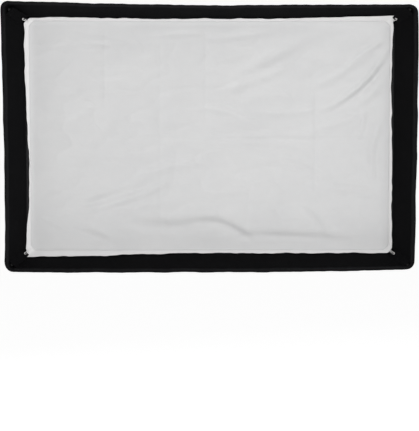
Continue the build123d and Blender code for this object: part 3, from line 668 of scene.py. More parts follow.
# ---- Lip ----
# A deep border of the same black cloth, doubled, that carries on the flare in front of the diffuser and
# keeps stray light off it. Only its corners are held, by the rod tips, so its edges wander a few
# millimetres between them.
EDGE_RADII = {(-1, 1): 0.015, (1, 1): 0.020, (-1, -1): 0.023, (1, -1): 0.023}


def lip_radius(step, depth):
    """The corners open out from the rods to the rounder front edge, each by its own amount."""
    edge = sum(
        radius * (1 + sx * step[:, 0]) * (1 + sz * step[:, 1]) / 4 for (sx, sz), radius in EDGE_RADII.items()
    )
    share = np.clip((depth - (lip_end - 0.02)) / 0.02, 0, 1)
    return SEAM_RADIUS + (edge - SEAM_RADIUS) * share**1.5


# How far each side's front edge stands in from its true line at even steps along it, in mm, going
# anticlockwise.
LIP_LINES = (
    (-1.0, -3.0, -1.5, -2.5, -1.0, 0.8, 4.5),
    (3.0, 1.0, 0.3, 0.2, -0.6, -2.0, 0.5),
    (1.5, 2.5, 3.0, 3.4, 2.0, -2.0, -6.0),
    (-0.5, 1.5, 4.0, 4.2, 5.2, 5.4, 3.0),
)


def side_line(step, lines):
    """Reads a table of four sides at each point of a hoop, blending round the corners."""
    places = np.linspace(-1, 1, len(lines[0]))
    total = np.zeros(len(step))
    weights = np.zeros(len(step))
    for line, (fx, fz) in zip(lines, SIDES.values()):
        weight = np.clip(step[:, 2] * fx + step[:, 3] * fz, 0, 1) ** 2
        along = step[:, 0] * -fz + step[:, 1] * fx
        total += weight * np.interp(along, places, line)
        weights += weight
    return total / weights


EDGE_WAVES = ((0.075, 11.0, 0.0012), (0.028, 17.0, 0.0005))  # size, start and height of each set of waves


def edge_wander(points, step, share):
    """How far the cloth of the lip stands in from its true line: slack between the corners, and soft
    waves."""
    waves = sum(ripple(points, size, start) * height for size, start, height in EDGE_WAVES)
    return (side_line(step, LIP_LINES) * 0.001 + waves * (1 - np.abs(step[:, 4]) ** 6)) * share


def lip_points(u, v, inset=0.0):
    depth = shell_end + (lip_end - shell_end) * v
    step = steps_at(u)
    points = hoop(step, depth, lip_radius(step, depth), inset)
    move_in(points, step, edge_wander(points, step, v**1.2))
    points[:, 1] += ripple(points, 0.09, 23.0) * 0.0010 * v
    return points


# The lip is the shell's black nylon, but its colour here is painted darker than the shell's, with less shine:
# painted shade for the lip's inner faces.
lip_black_painted_shade = cloth_finish("black_lip_cloth_painted_shade", (0.0020, 0.0020, 0.0023), (0.0042, 0.0042, 0.0048), 0.0007,
                         0.00012, sheen=0.0)
lip_black_painted_shade.constants(Specular_IOR_Level=0.05)
lip_cloth = cloth_piece("lip_cloth", AROUND, 20, lip_points, (2.9, 0.1), closed=True, thick=0.001)
lip_cloth.data.materials.append(lip_black_painted_shade.material)
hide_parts("lip_top", "lip_bottom", "lip_left", "lip_right")
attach(lip_cloth, "softbox")


# ---- Lip binding ----
# Ribbed bias tape folded over the front edge of the lip and sewn through with one row of stitches.
BINDING_WIDTH = 0.010


def binding_points(u, v):
    """v runs from the tape's inner edge, round the front of the lip, to its outer edge."""
    along = (v - 0.5) * 2
    depth = lip_end - BINDING_WIDTH * np.abs(along) + 0.0009 * (1 - np.abs(along)) ** 3
    inset = np.where(along < 0, 0.0017, -0.0006)
    blend = np.clip(np.abs(along) / 0.12, 0, 1)
    inset = inset * blend + 0.0005 * (1 - blend)
    step = steps_at(u)
    points = hoop(step, depth, lip_radius(step, depth), inset)
    wander = edge_wander(points, step, ((depth - shell_end) / (lip_end - shell_end)) ** 1.2)
    pucker = np.sin(u * AROUND * 1.9) * 0.00025 * blend
    move_in(points, step, wander + pucker)
    points[:, 1] += ripple(points, 0.09, 23.0) * 0.0010
    return points


def make_rib():
    """Grosgrain ribs across a tape."""
    tree, enter, leave = group_of(
        "grosgrain_rib",
        {"Threads": None, "Place": None, "Rib Size": 0.0011},
        {"Height": "NodeSocketFloat", "Tone": "NodeSocketFloat"},
    )
    parts = tree.nodes.new("ShaderNodeSeparateXYZ")
    tree.links.new(scaled(tree, enter.outputs["Threads"], enter.outputs["Rib Size"]), parts.inputs[0])
    rib = calc(tree, "ABSOLUTE", calc(tree, "SINE", calc(tree, "MULTIPLY", parts.outputs[0], pi)))
    fuzz = cloud(tree, enter.outputs["Place"], 300.0, 2.0)
    tree.links.new(calc(tree, "ADD", rib, calc(tree, "MULTIPLY", fuzz, 0.5)), leave.inputs["Height"])
    tree.links.new(calc(tree, "ADD", calc(tree, "MULTIPLY", rib, 0.4), calc(tree, "MULTIPLY", fuzz, 0.6)),
                   leave.inputs["Tone"])
    return tree


grosgrain = make_rib()


def tape_finish(name, dark, light, rib=0.0011):
    finish = Finish(name)
    ribs = finish.use(grosgrain, Threads=finish.threads, Place=finish.place, Rib_Size=rib)
    finish.colour(ribs.outputs["Tone"], (0.2, dark), (0.8, light))
    finish.roughness(ribs.outputs["Tone"], 0.7, 0.95)
    finish.relief(ribs.outputs["Height"], 0.0002)
    finish.constants(Specular_IOR_Level=0.25)
    return finish


black_tape = tape_finish("black_binding_tape", (0.0035, 0.0035, 0.004), (0.008, 0.008, 0.009))
black_tape.constants(Specular_IOR_Level=0.1)
binding = cloth_piece("lip_binding_tape", AROUND, 16, binding_points, (2.95, 0.02), closed=True,
                      thick=0.0006, outside=1.0)
binding.data.materials.append(black_tape.material)
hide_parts("lip_binding")
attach(binding, "softbox")


# ---- Corner pockets ----
# A patch of the coarse webbing closes off each corner of the lip in front of the diffuser, as a pocket
# for the rod's end, and is sewn down along both sides.
POCKET_NEAR, POCKET_FAR = 0.391, lip_end - 0.011
POCKET_LEG, POCKET_BULGE = 0.0165, 0.0089
POCKET_GAP, POCKET_THICK = 0.0014, 0.0008
# The pockets' colour is painted darker than the keepers' webbing, with less shine: painted shade for the corners
# of the lip.
pocket_cloth_painted_shade = cloth_finish("black_pocket_cloth_painted_shade", (0.0022, 0.0022, 0.0025), (0.0050, 0.0050, 0.0056),
                            0.0009, 0.0002,
                            rough=(0.8, 0.95), sheen=0.0)
pocket_cloth_painted_shade.constants(Specular_IOR_Level=0.05)
for corner in CORNERS:
    pocket = corner_wrap(corner, POCKET_NEAR, POCKET_FAR, POCKET_LEG, POCKET_GAP, POCKET_BULGE, POCKET_THICK)
    pocket.name = pocket.data.name = f"corner_pocket_{corner}"
    pocket.data.materials.append(pocket_cloth_painted_shade.material)
    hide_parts("corner_pockets")
    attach(pocket, "softbox")


# ---- Lip seams ----
# The lip's four panels are mitred at the corners, with a row of stitches each side of the mitre, and the
# binding is sewn through with one row all the way round.
stitch_row("binding_stitches", binding_points(round_once, np.full(AROUND + 1, 0.20)) - (0, 0.0002, 0),
           black_thread.material, "softbox")
SEAM_START, SEAM_STOP = 0.004, 0.012
SEAM_AWAY, SEAM_SPREAD, SEAM_OPENING = 0.0045, 0.010, 0.03
STITCH_LIFT = 0.0003
for corner, (sx, sz) in CORNERS.items():
    for side in (-1, 1):
        depths = np.linspace(shell_end + SEAM_START, lip_end - SEAM_STOP, 24)
        wide, tall = flare(depths)
        away = SEAM_AWAY + SEAM_SPREAD * np.clip((depths - lip_end + SEAM_OPENING) / SEAM_OPENING, 0, 1)
        x = wide + STITCH_LIFT - away * (side > 0)
        z = tall + STITCH_LIFT - away * (side < 0)
        seam_path = np.stack([sx * x, ring_y - depths, ring_z + sz * z], 1)
        stitch_row(f"lip_stitches_{corner}_{1 if side < 0 else 2}", seam_path, black_thread.material,
                   "softbox")


# ---- Loop tape ----
# Napped black tape sewn round the inside of the lip, in four straight lengths that stop short of the
# corners.
def make_pile():
    """Fine tangled pile."""
    tree, enter, leave = group_of(
        "tape_pile",
        {"Place": None, "Pile Size": 0.0012},
        {"Height": "NodeSocketFloat", "Tone": "NodeSocketFloat"},
    )
    spot = scaled(tree, enter.outputs["Place"], enter.outputs["Pile Size"])
    tangle = cloud(tree, spot, 1.0, 5.0, 0.75)
    cells = tree.nodes.new("ShaderNodeTexVoronoi")
    tree.links.new(spot, cells.inputs["Vector"])
    cells.inputs["Scale"].default_value = 1.6
    height = calc(tree, "ADD", tangle, calc(tree, "MULTIPLY", cells.outputs["Distance"], 0.8))
    tree.links.new(height, leave.inputs["Height"])
    tree.links.new(calc(tree, "MULTIPLY", height, 0.7), leave.inputs["Tone"])
    return tree


tape_pile = make_pile()


def pile_finish(name, dark, light):
    finish = Finish(name)
    pile = finish.use(tape_pile, Place=finish.place, Pile_Size=0.0012)
    finish.colour(pile.outputs["Tone"], (0.2, dark), (0.8, light))
    finish.roughness(pile.outputs["Tone"], 0.85, 1.0)
    finish.relief(pile.outputs["Height"], 0.0006)
    finish.constants(Specular_IOR_Level=0.1, Sheen_Weight=0.15)
    return finish


TAPE_SHORT = 0.0205
lip_depth_middle = (shell_end + lip_end) / 2
CORNER_BEND = 1.25  # 1 cuts the corners straight across, 2 rounds them


def on_lip(step, depth, inset, clip=0.0):
    """Points on the lip's inner side, following its wander, with the corners cut across by clip."""
    step = step.copy()
    bend = np.abs(step[:, 2]) ** CORNER_BEND + np.abs(step[:, 3]) ** CORNER_BEND
    step[:, 2:4] /= (bend ** (1 / CORNER_BEND))[:, None]
    wide, tall = flare(depth)
    x = step[:, 0] * (wide - inset - clip) + step[:, 2] * clip
    z = step[:, 1] * (tall - inset - clip) + step[:, 3] * clip
    points = np.stack([x, np.zeros_like(x) + ring_y - depth, ring_z + z], 1)
    share = np.clip((depth - shell_end) / (lip_end - shell_end), 0, 1) ** 1.2
    move_in(points, step, edge_wander(points, step, share))
    return points


def tape_strip(name, side, depths, inset, thick):
    """A straight tape along one side of the lip, between two depths, given as functions of its steps."""
    near, far = depths
    wide, tall = flare(lip_depth_middle)
    reach = 1 - TAPE_SHORT / (wide if side in ("top", "bottom") else tall)

    def place(u, v):
        step = side_steps(SIDES[side], (u * 2 - 1) * reach)
        end = far(step) if callable(far) else far
        return on_lip(step, near + (end - near) * v, inset)

    return cloth_piece(name, 60, 5, place, (0.8, 0.02), thick=thick, outside=0.0)


black_pile = pile_finish("black_loop_pile", (0.003, 0.003, 0.0035), (0.012, 0.012, 0.013))
LOOP_TAPE_END = deep(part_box("loop_tapes")[0][1])
for side in SIDES:
    loop_tape = tape_strip(f"loop_tape_{side}", side,
                           (deep(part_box("loop_tapes")[1][1]), LOOP_TAPE_END - 0.003), 0.0016,
                           0.0010)
    loop_tape.data.materials.append(black_pile.material)
    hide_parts("loop_tapes")
    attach(loop_tape, "softbox")


# ---- Front diffuser ----
# One piece of white nylon, cut a little full, so it hangs slightly slack: packing folds have left
# straight creases, the corners drag at it, and its spare height has dropped into a shallow swag above the
# bottom hem.
HEM_CLIP = 0.0120
HEM_INSET = 0.0042
sheet_depth = deep(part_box("front_diffuser")[1][1])
FOLD_REACH, FOLD_RISE = 0.014, 0.0045  # the sheet turns forwards at its edge, into the hem
# Each crease: its two ends across and up from the centre, its depth and half width, and how far it bows.
# All in mm.
CREASES = (
    (399, 193, 280, 70, -5.0, 7, 13),
    (397, 229, 253, 119, -2.2, 9, 9),
    (401, 173, 302, 79, 2.2, 8, 7),
    (392, 213, 316, 164, -1.5, 5, -4),
    (403, 142, 320, 56, -1.5, 8, 4),
    (233, 225, 64, 128, -2.6, 16, -9),
    (185, 164, 51, 106, -1.6, 10, 4),
    (-111, 225, -10, 229, -1.6, 6, 2),
    (-10, 218, 118, 231, -1.5, 8, -2),
    (-269, 207, -219, 200, -1.6, 6, 2),
    (-322, -171, -111, -112, -2.8, 8, -9),
    (-282, -160, -183, -124, 1.4, 7, 4),
    (-291, -216, -219, -243, -1.6, 7, 2),
    (-156, -88, -37, -63, -2.2, 9, 7),
    (-347, 38, -291, 43, -1.2, 8, -7),
    (345, 56, 336, 2, -2.0, 6, 4),
    (390, 36, 367, -83, -2.6, 7, -11),
    (-3, 61, 95, 29, -1.8, 8, 7),
    (244, 16, 365, 65, -1.8, 7, -4),
    (140, -52, 271, -106, -1.6, 9, 7),
    (1, -128, 118, -115, -1.4, 8, -4),
    (271, -119, 365, -128, -2.2, 9, 4),
    (118, 52, 244, 61, -1.4, 8, -4),
    (-161, -200, 10, -193, -4.0, 13, -7),
    (-10, -193, 82, -227, -3.6, 9, 7),
    (69, -227, 289, -236, -3.0, 9, 4),
    (-206, -178, -107, -153, -1.6, 10, 4),
    (203, -160, 248, -204, -1.6, 10, 4),
)
CREASE_STRENGTH = 1.6
# Packing folds, straight through the sheet: across or up, place, start, end and depth. All in mm.
PACKING_FOLDS = (
    ("up", -235, 60, 250, 0.9),
    ("up", -111, -240, 240, 0.6),
    ("up", -10, 20, 240, 0.5),
    ("up", 237, -130, 110, 1.2),
    ("across", -7, -10, 365, 1.1),
    ("across", -5, -240, -10, 0.5),
)


def crease_depth(x, z):
    """Depth of all creases at points on the sheet, in metres; positive stands out towards the front."""
    total = np.zeros_like(x)
    for x0, z0, x1, z1, depth, width, bow in CREASES:
        dx, dz = x1 - x0, z1 - z0
        length = (dx * dx + dz * dz) ** 0.5
        t = ((x - x0) * dx + (z - z0) * dz) / length**2
        off = ((x - x0) * -dz + (z - z0) * dx) / length - bow * 4 * t * (1 - t)
        inside = np.clip(t, 0, 1)
        beyond = (t - inside) * length
        taper = np.sin(pi * (0.12 + 0.76 * inside)) ** 0.8
        near = np.exp(-((off / width) ** 2) - (beyond / 22) ** 2)
        shoulder = np.exp(-(((off - 1.7 * width) / (1.5 * width)) ** 2) - (beyond / 30) ** 2)
        total += depth * taper * (near - 0.45 * shoulder)
    for way, at, start, end, depth in PACKING_FOLDS:
        along, off = (z, x - at) if way == "up" else (x, z - at)
        fade = np.clip((along - start) / 25, 0, 1) * np.clip((end - along) / 25, 0, 1)
        total += depth * fade * np.exp(-np.abs(off) / 4.5)
    return total * CREASE_STRENGTH * 0.001


def sheet_outline(a, b):
    """A square grid spread over the sheet, with its corners clipped. Returns the place and the
    distance to the edge."""
    wide, tall = (half - HEM_INSET for half in flare(sheet_depth + FOLD_RISE))
    x, z = a * wide, b * tall
    out_x = np.maximum(np.abs(x) - (wide - HEM_CLIP), 0)
    out_z = np.maximum(np.abs(z) - (tall - HEM_CLIP), 0)
    in_corner = (out_x > 0) & (out_z > 0)
    total = (out_x**CORNER_BEND + out_z**CORNER_BEND) ** (1 / CORNER_BEND)
    factor = np.where(in_corner, np.maximum(out_x, out_z) / np.maximum(total, 1e-9), 1.0)
    x = np.sign(x) * (np.minimum(np.abs(x), wide - HEM_CLIP) + out_x * factor)
    z = np.sign(z) * (np.minimum(np.abs(z), tall - HEM_CLIP) + out_z * factor)
    edge = np.minimum(wide - np.abs(a) * wide, tall - np.abs(b) * tall)
    return x, z, edge


HELD_EDGE = 0.03  # the cloth can't ripple this close to its edge
SHEET_STRETCH = (0.55, 1.0, 1.0)  # the ripples are longer across the sheet than up it
SHEET_WAVES = ((0.060, 3.0, 0.0016), (0.022, 7.0, 0.0006))  # size, start and height of each set of ripples
RIDGE_SIZE, RIDGE_START, RIDGE_HEIGHT = 0.045, 9.0, 0.0011
SWAG_HEIGHT, SWAG_REACH = 0.0055, 0.42
SWAG_DROP, SWAG_BAND = 165, 38  # below the centre, and half height, in mm


def sheet_points(u, v):
    a, b = u * 2 - 1, v * 2 - 1
    x, z, edge = sheet_outline(a, b)
    flat = np.stack([x, np.zeros_like(x), z], 1)
    loose = np.clip(edge / HELD_EDGE, 0, 1)
    rise = crease_depth(x * 1000, z * 1000) * (0.25 + 0.75 * loose)
    stretched = flat * np.array(SHEET_STRETCH)
    for size, start, height in SHEET_WAVES:
        rise += ripple(stretched, size, start) * height * loose
    ridged = 1 - np.abs(ripple(stretched, RIDGE_SIZE, RIDGE_START))
    rise += (ridged**3 - 0.3) * RIDGE_HEIGHT * loose
    swag = np.exp(-(((z * 1000 + SWAG_DROP) / SWAG_BAND) ** 2)) * np.clip(1 - (x / SWAG_REACH) ** 2, 0, 1)
    rise += SWAG_HEIGHT * swag
    fold = np.clip(1 - edge / FOLD_REACH, 0, 1) ** 2.2 * FOLD_RISE
    return np.stack([x, ring_y - sheet_depth - rise - fold, ring_z + z], 1)


diffuser_white = cloth_finish("white_diffusion_cloth", (0.600, 0.602, 0.607), (0.645, 0.645, 0.645), 0.0005,
                              0.00006,
                              rough=(0.8, 0.95), sheen=0.0, uneven=0.4)
sheet_wide, sheet_tall = (2 * (half - HEM_INSET) for half in flare(sheet_depth))
diffuser_cloth = cloth_piece("diffuser_cloth", 236, 150, sheet_points, (sheet_wide, sheet_tall),
                             thick=0.0005, outside=-1.0)
diffuser_cloth.data.materials.append(diffuser_white.material)
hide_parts("front_diffuser")
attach(diffuser_cloth, "front_cloth")


# ---- Diffuser hem ----
# The edge of the diffuser is a doubled band that turns forwards and lies along the lip, with the hook
# tape behind it. It puckers between the points where it was pressed on, so its front edge wanders.
hem_start = sheet_depth + FOLD_RISE - 0.001
# Depth of the band's front edge at even steps along each side, in mm, going anticlockwise from the bottom
# left.
HEM_LINES = (
    (396, 392, 386, 381, 383, 384, 384),
    (382, 380, 381, 379, 377, 377, 381),
    (396, 389, 383, 384, 382, 387, 384),
    (385, 385, 383, 378, 375, 377, 387),
)


HEM_WAVES = ((0.050, 31.0, 0.0016), (0.018, 37.0, 0.0009))  # size, start and height of each set of puckers


def hem_front(step):
    """Depth of the hem band's front edge, with its puckers."""
    front = side_line(step, HEM_LINES) * 0.001
    reference = on_lip(step, front, HEM_INSET, HEM_CLIP)
    for size, start, height in HEM_WAVES:
        front = front + ripple(reference, size, start) * height
    return front


def hem_points(u, v, inset=0.0):
    step = steps_at(u)
    front = hem_front(step)
    level = on_lip(step, front, HEM_INSET, HEM_CLIP)
    pucker = ripple(level, 0.016, 41.0) * 0.0006 * v
    crown = 0.0008 * np.sin(pi * v)
    depth = hem_start + (front - hem_start) * v
    return on_lip(step, depth, HEM_INSET - 0.0006 + inset + pucker + crown, HEM_CLIP)


hem_white = cloth_finish("white_hem_cloth", (0.76, 0.752, 0.755), (0.82, 0.813, 0.812), 0.0005, 0.00008,
                         rough=(0.8, 0.95), sheen=0.0, uneven=0.4)
diffuser_hem = cloth_piece("diffuser_hem_band", AROUND, 10, hem_points, (2.6, 0.03), closed=True,
                           thick=0.0011)
diffuser_hem.data.materials.append(hem_white.material)
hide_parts("diffuser_flange")
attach(diffuser_hem, "front_cloth")


# ---- Hook tape ----
# The white half of the fastening, sewn behind the hem in four straight lengths, facing the loop tape on
# the lip.
white_hooks = pile_finish("white_hook_pile", (0.58, 0.58, 0.57), (0.78, 0.78, 0.77))
for side in SIDES:
    hook_tape = tape_strip(f"hook_tape_{side}", side,
                           (sheet_depth + 0.004, lambda step: hem_front(step) - 0.004),
                           0.0029, 0.0007)
    hook_tape.data.materials.append(white_hooks.material)
    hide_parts("hook_tapes")
    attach(hook_tape, "front_cloth")


# ---- Corner loops ----
# A white elastic cord sewn into each corner of the hem is stretched forwards and hooked round a button on
# the pocket.
def loop_path(root, tip, side, radius, spread):
    """A teardrop of cord: out from root, round a post at tip, and back. side points across the loop."""
    out = (tip - root) / np.linalg.norm(tip - root)
    rise = np.linspace(0, 1, 22)[:, None]
    gap = spread + (radius - spread) * rise**1.6
    leg = root + (tip - root) * rise
    turn = np.linspace(-pi / 2, pi / 2, 18)[1:-1, None]
    bend = tip + out * radius * np.cos(turn) + side * radius * np.sin(turn)
    return np.vstack([leg - side * gap, bend, (leg + side * gap)[::-1]])


def corner_point(corner, depth, away):
    """A point in front of a corner of the sleeve, the same distance away from both of its sides."""
    sx, sz = CORNERS[corner]
    wide, tall = flare(depth)
    return np.array((sx * (wide - away), ring_y - depth, ring_z + sz * (tall - away)))


LOOP_CORD_RADIUS, LOOP_POST_RADIUS, LOOP_LEG_GAP = 0.0007, 0.0019, 0.001
LOOP_ROOT_RISE, LOOP_ROOT_AWAY, LOOP_TIP_AWAY = 0.007, 0.0108, 0.0113
BUTTON_DEPTH = (deep(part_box("loop_buttons")[0][1]) + deep(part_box("loop_buttons")[1][1])) / 2
white_elastic = yarn_finish("white_elastic_cord", (0.70, 0.69, 0.68), (0.86, 0.85, 0.84), 0.0007)
for corner, (sx, sz) in CORNERS.items():
    across = np.array((sx, 0, -sz)) / 2**0.5
    root = corner_point(corner, hem_start + LOOP_ROOT_RISE, LOOP_ROOT_AWAY)
    tip = corner_point(corner, BUTTON_DEPTH, LOOP_TIP_AWAY)
    path = loop_path(root, tip, across, LOOP_POST_RADIUS, LOOP_LEG_GAP)
    corner_loop = round_cord(f"corner_loop_{corner}", path, LOOP_CORD_RADIUS, lay=0.06)
    corner_loop.data.materials.append(white_elastic.material)
    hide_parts("corner_loops")
    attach(corner_loop, "front_cloth")
stitch_row("hem_stitches", on_lip(steps_at(round_once), hem_front(steps_at(round_once)) - 0.002,
                                  HEM_INSET + 0.0014,
                                  HEM_CLIP), white_elastic.material, "front_cloth")


# ---- Rear collar ----
# A sleeve of the shell's cloth that runs from the square back of the shell to the round ring, and is
# gathered there.
collar_radius = (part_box("rear_collar")[1][2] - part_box("rear_collar")[0][2]) / 2


def collar_points(u, v, inset=0.0):
    step = steps_at(u)
    front = hoop(step, shell_start + 0.006 * (1 - v), SEAM_RADIUS, inset - 0.0012)
    angle = np.arctan2(front[:, 2] - ring_z, front[:, 0])
    pleats = 0.5 + 0.5 * np.sin(58 * angle + 1.4 * np.sin(5 * angle))
    radius = collar_radius - inset - 0.0022 * v**2 * pleats
    rear = np.stack([radius * np.cos(angle), ring_y + np.zeros_like(u), ring_z + radius * np.sin(angle)], 1)
    share = v[:, None]
    points = front * (1 - share) + rear * share
    points[:, 1] = front[:, 1] * (1 - v) + (ring_y + 0.0005) * v
    return points


collar = cloth_piece("rear_collar_cloth", AROUND, 16, collar_points, (0.56, 0.04), closed=True, thick=0.0007,
                     finish=1)
collar.data.materials.append(black_nylon.material)
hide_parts("rear_collar")
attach(collar, "softbox")


# ---- Collar elastic ----
# A flat braided elastic, sewn into the collar's rear edge, that grips the rim of the ring plate.
ELASTIC_WIDTH = 0.006
elastic_radius = (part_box("collar_elastic")[1][2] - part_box("collar_elastic")[0][2]) / 2


def elastic_points(u, v):
    angle = 2 * pi * u
    ribs = 0.00022 * np.abs(np.sin(62 * angle)) + 0.0003 * np.sin(pi * v)
    radius = elastic_radius - 0.0005 + ribs
    return np.stack([radius * np.cos(angle), ring_y + ELASTIC_WIDTH * (v * 1.1 - 0.1),
                     ring_z + radius * np.sin(angle)],
                    1)


black_elastic = yarn_finish("black_flat_elastic", (0.006, 0.006, 0.007), (0.020, 0.020, 0.022), 0.0008)
elastic = cloth_piece("collar_elastic_band", 496, 6, elastic_points, (0.5, ELASTIC_WIDTH), closed=True,
                      thick=0.0012)
elastic.data.materials.append(black_elastic.material)
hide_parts("collar_elastic")
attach(elastic, "softbox")


# ---- Inner baffle ----
# A smaller sheet of white nylon half way down the box evens out the hot spot. Its corners are drawn out
# by elastics, so its edges curve in between them.
baffle_low, baffle_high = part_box("inner_baffle")
baffle_wide, baffle_tall = baffle_high[0], (baffle_high[2] - baffle_low[2]) / 2
EDGE_CURVE = 0.007


def on_baffle(a, b):
    """A point of the baffle: a across and b up, from -1 to 1."""
    x = a * (baffle_wide - EDGE_CURVE * (1 - b**2) * a**2)
    z = b * (baffle_tall - EDGE_CURVE * (1 - a**2) * b**2)
    return x, z


def baffle_points(u, v):
    x, z = on_baffle(u * 2 - 1, v * 2 - 1)
    flat = np.stack([x, np.zeros_like(x), z], 1)
    free = (1 - (x / baffle_wide) ** 4) * (1 - (z / baffle_tall) ** 4)
    rise = (ripple(flat, 0.09, 51.0) * 0.0022 + ripple(flat, 0.03, 53.0) * 0.0006) * free
    return np.stack([x, baffle_low[1] + 0.0004 - rise, ring_z + z], 1)


baffle_white = cloth_finish("white_baffle_cloth", (0.68, 0.68, 0.68), (0.74, 0.74, 0.74), 0.0005, 0.00006,
                            rough=(0.8, 0.95), sheen=0.0)
baffle = cloth_piece("inner_baffle_cloth", 72, 44, baffle_points, (2 * baffle_wide, 2 * baffle_tall),
                     thick=0.0005)
baffle.data.materials.append(baffle_white.material)
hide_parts("inner_baffle")
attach(baffle, "softbox")


# ---- Baffle hem ----
# White tape sewn flat round the front of the baffle's edge.
BAFFLE_HEM = 0.012


def baffle_hem_points(u, v):
    step = steps_at(u)
    a = step[:, 0] * (1 - v * BAFFLE_HEM / baffle_wide)
    b = step[:, 1] * (1 - v * BAFFLE_HEM / baffle_tall)
    x, z = on_baffle(a, b)
    flat = np.stack([x, np.zeros_like(x), z], 1)
    free = (1 - (x / baffle_wide) ** 4) * (1 - (z / baffle_tall) ** 4)
    rise = (ripple(flat, 0.09, 51.0) * 0.0022 + ripple(flat, 0.03, 53.0) * 0.0006) * free
    return np.stack([x, baffle_low[1] - 0.0004 - rise - 0.0002 * np.sin(pi * v), ring_z + z], 1)


white_tape = tape_finish("white_hem_tape", (0.66, 0.66, 0.65), (0.80, 0.80, 0.79), 0.0008)
baffle_hem = cloth_piece("baffle_hem_tape", AROUND, 5, baffle_hem_points, (1.5, BAFFLE_HEM), closed=True,
                         thick=0.0005)
baffle_hem.data.materials.append(white_tape.material)
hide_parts("baffle_hem")
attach(baffle_hem, "softbox")


# ---- Baffle elastics ----
# Round elastic cord from each corner of the baffle, threaded through the eye of the clip on the rod.
CLIP_EYE = np.array((0.27277, 0.0, 0.17081))  # across, and up from the ring's axis
EYE_RIM = 0.003
for corner, (sx, sz) in CORNERS.items():
    eye = np.array((sx * CLIP_EYE[0], baffle_low[1], ring_z + sz * CLIP_EYE[2]))
    root = np.array((sx * (baffle_wide - 0.004), baffle_low[1] - 0.0026, ring_z + sz * (baffle_tall - 0.004)))
    toward = (root - eye) / np.linalg.norm(root - eye)
    rod_way = np.array((sx * 0.6165, -0.6848, sz * 0.3886))
    path = loop_path(root, eye + toward * EYE_RIM, rod_way / np.linalg.norm(rod_way), EYE_RIM, 0.0014)
    baffle_elastic = round_cord(f"baffle_elastic_{corner}", path, 0.0012, lay=0.05)
    baffle_elastic.data.materials.append(white_elastic.material)
    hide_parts("baffle_elastics")
    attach(baffle_elastic, "softbox")


# ---- Metal and plastic fittings ----
# Their shapes are the maker's own, so each only takes its finish: cast, turned, moulded or coated.
def make_grain():
    """A grained surface: fine grain, broad mottling, and scratches drawn out along one axis."""
    tree, enter, leave = group_of(
        "grained_surface",
        {"Place": None, "Grain Size": 0.001, "Scratch Length": 10.0, "Scratch Share": 0.3},
        {"Height": "NodeSocketFloat", "Tone": "NodeSocketFloat", "Scratch": "NodeSocketFloat"},
    )
    grain = cloud(tree, scaled(tree, enter.outputs["Place"], enter.outputs["Grain Size"]), 1.0, 3.0, 0.6)
    mottle = cloud(tree, enter.outputs["Place"], 38.0, 4.0)
    drawn = tree.nodes.new("ShaderNodeVectorMath")
    drawn.operation = "DIVIDE"
    tree.links.new(enter.outputs["Place"], drawn.inputs[0])
    lengths = tree.nodes.new("ShaderNodeCombineXYZ")
    lengths.inputs[0].default_value = 1.0
    tree.links.new(enter.outputs["Scratch Length"], lengths.inputs[1])
    lengths.inputs[2].default_value = 1.0
    tree.links.new(lengths.outputs[0], drawn.inputs[1])
    scratch = cloud(tree, drawn.outputs[0], 900.0, 2.0, 0.7)
    share = enter.outputs["Scratch Share"]
    height = calc(tree, "ADD", calc(tree, "MULTIPLY", scratch, share),
                  calc(tree, "MULTIPLY", grain, calc(tree, "SUBTRACT", 1.0, share)))
    tone = calc(tree, "ADD", calc(tree, "MULTIPLY", mottle, 0.5), calc(tree, "MULTIPLY", height, 0.5))
    tree.links.new(height, leave.inputs["Height"])
    tree.links.new(tone, leave.inputs["Tone"])
    tree.links.new(scratch, leave.inputs["Scratch"])
    return tree


grained_surface = make_grain()


def hard_finish(name, dark, light, metal, rough, grain, relief, drawn=1.0, scratches=0.2, **constants):
    finish = Finish(name)
    surface = finish.use(grained_surface, Place=finish.place, Grain_Size=grain, Scratch_Length=drawn,
                         Scratch_Share=scratches)
    finish.colour(surface.outputs["Tone"], (0.3, dark), (0.7, light))
    finish.roughness(surface.outputs["Tone"], *rough)
    finish.relief(surface.outputs["Height"], relief)
    finish.constants(Metallic=metal, **constants)
    return finish


def wear(finish, nodes):
    """Gives some of the CAD pieces a finish."""
    for name in nodes:
        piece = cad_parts[name]
        piece.data.materials.clear()
        piece.data.materials.append(finish.material)


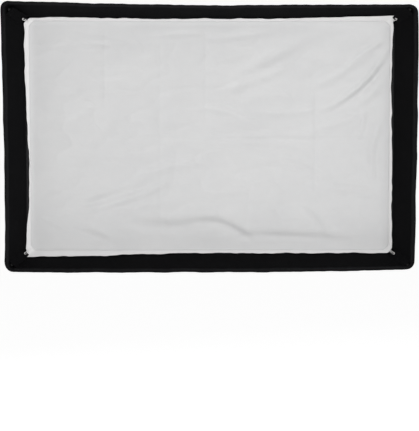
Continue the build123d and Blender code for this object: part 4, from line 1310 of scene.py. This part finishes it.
cast_alloy = hard_finish("bead_blasted_alloy", (0.36, 0.365, 0.375), (0.56, 0.565, 0.575), 1.0, (0.38, 0.6),
                         0.0005,
                         0.00008)
wear(cast_alloy, ("ring_plate", "rod_sockets", "retaining_ring"))
powder_coat = hard_finish("black_powder_coat", (0.011, 0.011, 0.012), (0.024, 0.024, 0.026), 0.0,
                          (0.42, 0.62), 0.0009,
                          0.00012, Specular_IOR_Level=0.45)
wear(powder_coat, ("ring_housing", "stand_receiver", "tilt_arm"))
plated_steel = hard_finish("plated_steel", (0.42, 0.42, 0.43), (0.62, 0.62, 0.63), 1.0, (0.22, 0.42),
                           0.0016, 0.00003,
                           drawn=0.05, scratches=0.7)
wear(plated_steel, ("bayonet_insert", "pivot_bolt", "pivot_washer", "roll_lock_screw", "stand_lock_screw",
                    "arm_bolts"))
black_steel = hard_finish("blackened_steel", (0.05, 0.05, 0.053), (0.12, 0.12, 0.125), 1.0, (0.35, 0.55),
                          0.0008,
                          0.00004, drawn=0.1, scratches=0.5)
wear(black_steel, ("socket_screws", "retaining_screws", "insert_screws", "lever_screw", "lever_spring"))
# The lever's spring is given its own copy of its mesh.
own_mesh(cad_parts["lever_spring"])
moulded_black = hard_finish("moulded_black_plastic", (0.010, 0.010, 0.011), (0.020, 0.020, 0.021), 0.0,
                            (0.4, 0.6),
                            0.0004, 0.00006, Specular_IOR_Level=0.4)
wear(moulded_black, ("roll_lock_knob", "stand_lock_knob", "tilt_lever", "baffle_clips", "loop_buttons"))
natural_nylon = hard_finish("natural_nylon", (0.60, 0.585, 0.53), (0.74, 0.725, 0.67), 0.0, (0.35, 0.5),
                            0.001, 0.00003)
wear(natural_nylon, ("friction_washers",))
turned_brass = hard_finish("turned_brass", (0.50, 0.35, 0.13), (0.70, 0.52, 0.24), 1.0, (0.22, 0.4), 0.0014,
                           0.00003,
                           drawn=0.05, scratches=0.8)
wear(turned_brass, ("roll_lock_tip", "stand_lock_pad", "lever_insert"))
drawn_fibre = hard_finish("drawn_glass_fibre", (0.014, 0.014, 0.015), (0.034, 0.034, 0.036), 0.0,
                          (0.28, 0.45), 0.0012,
                          0.00004, drawn=14.0, scratches=0.8, Coat_Weight=0.3)
wear(drawn_fibre, tuple(f"rod_{corner}" for corner in CORNERS))
cap_rubber = hard_finish("moulded_cap_rubber", (0.010, 0.010, 0.010), (0.018, 0.018, 0.018), 0.0,
                         (0.75, 0.9), 0.0006,
                         0.00005, Specular_IOR_Level=0.2)
wear(cap_rubber, ("rod_tips",))
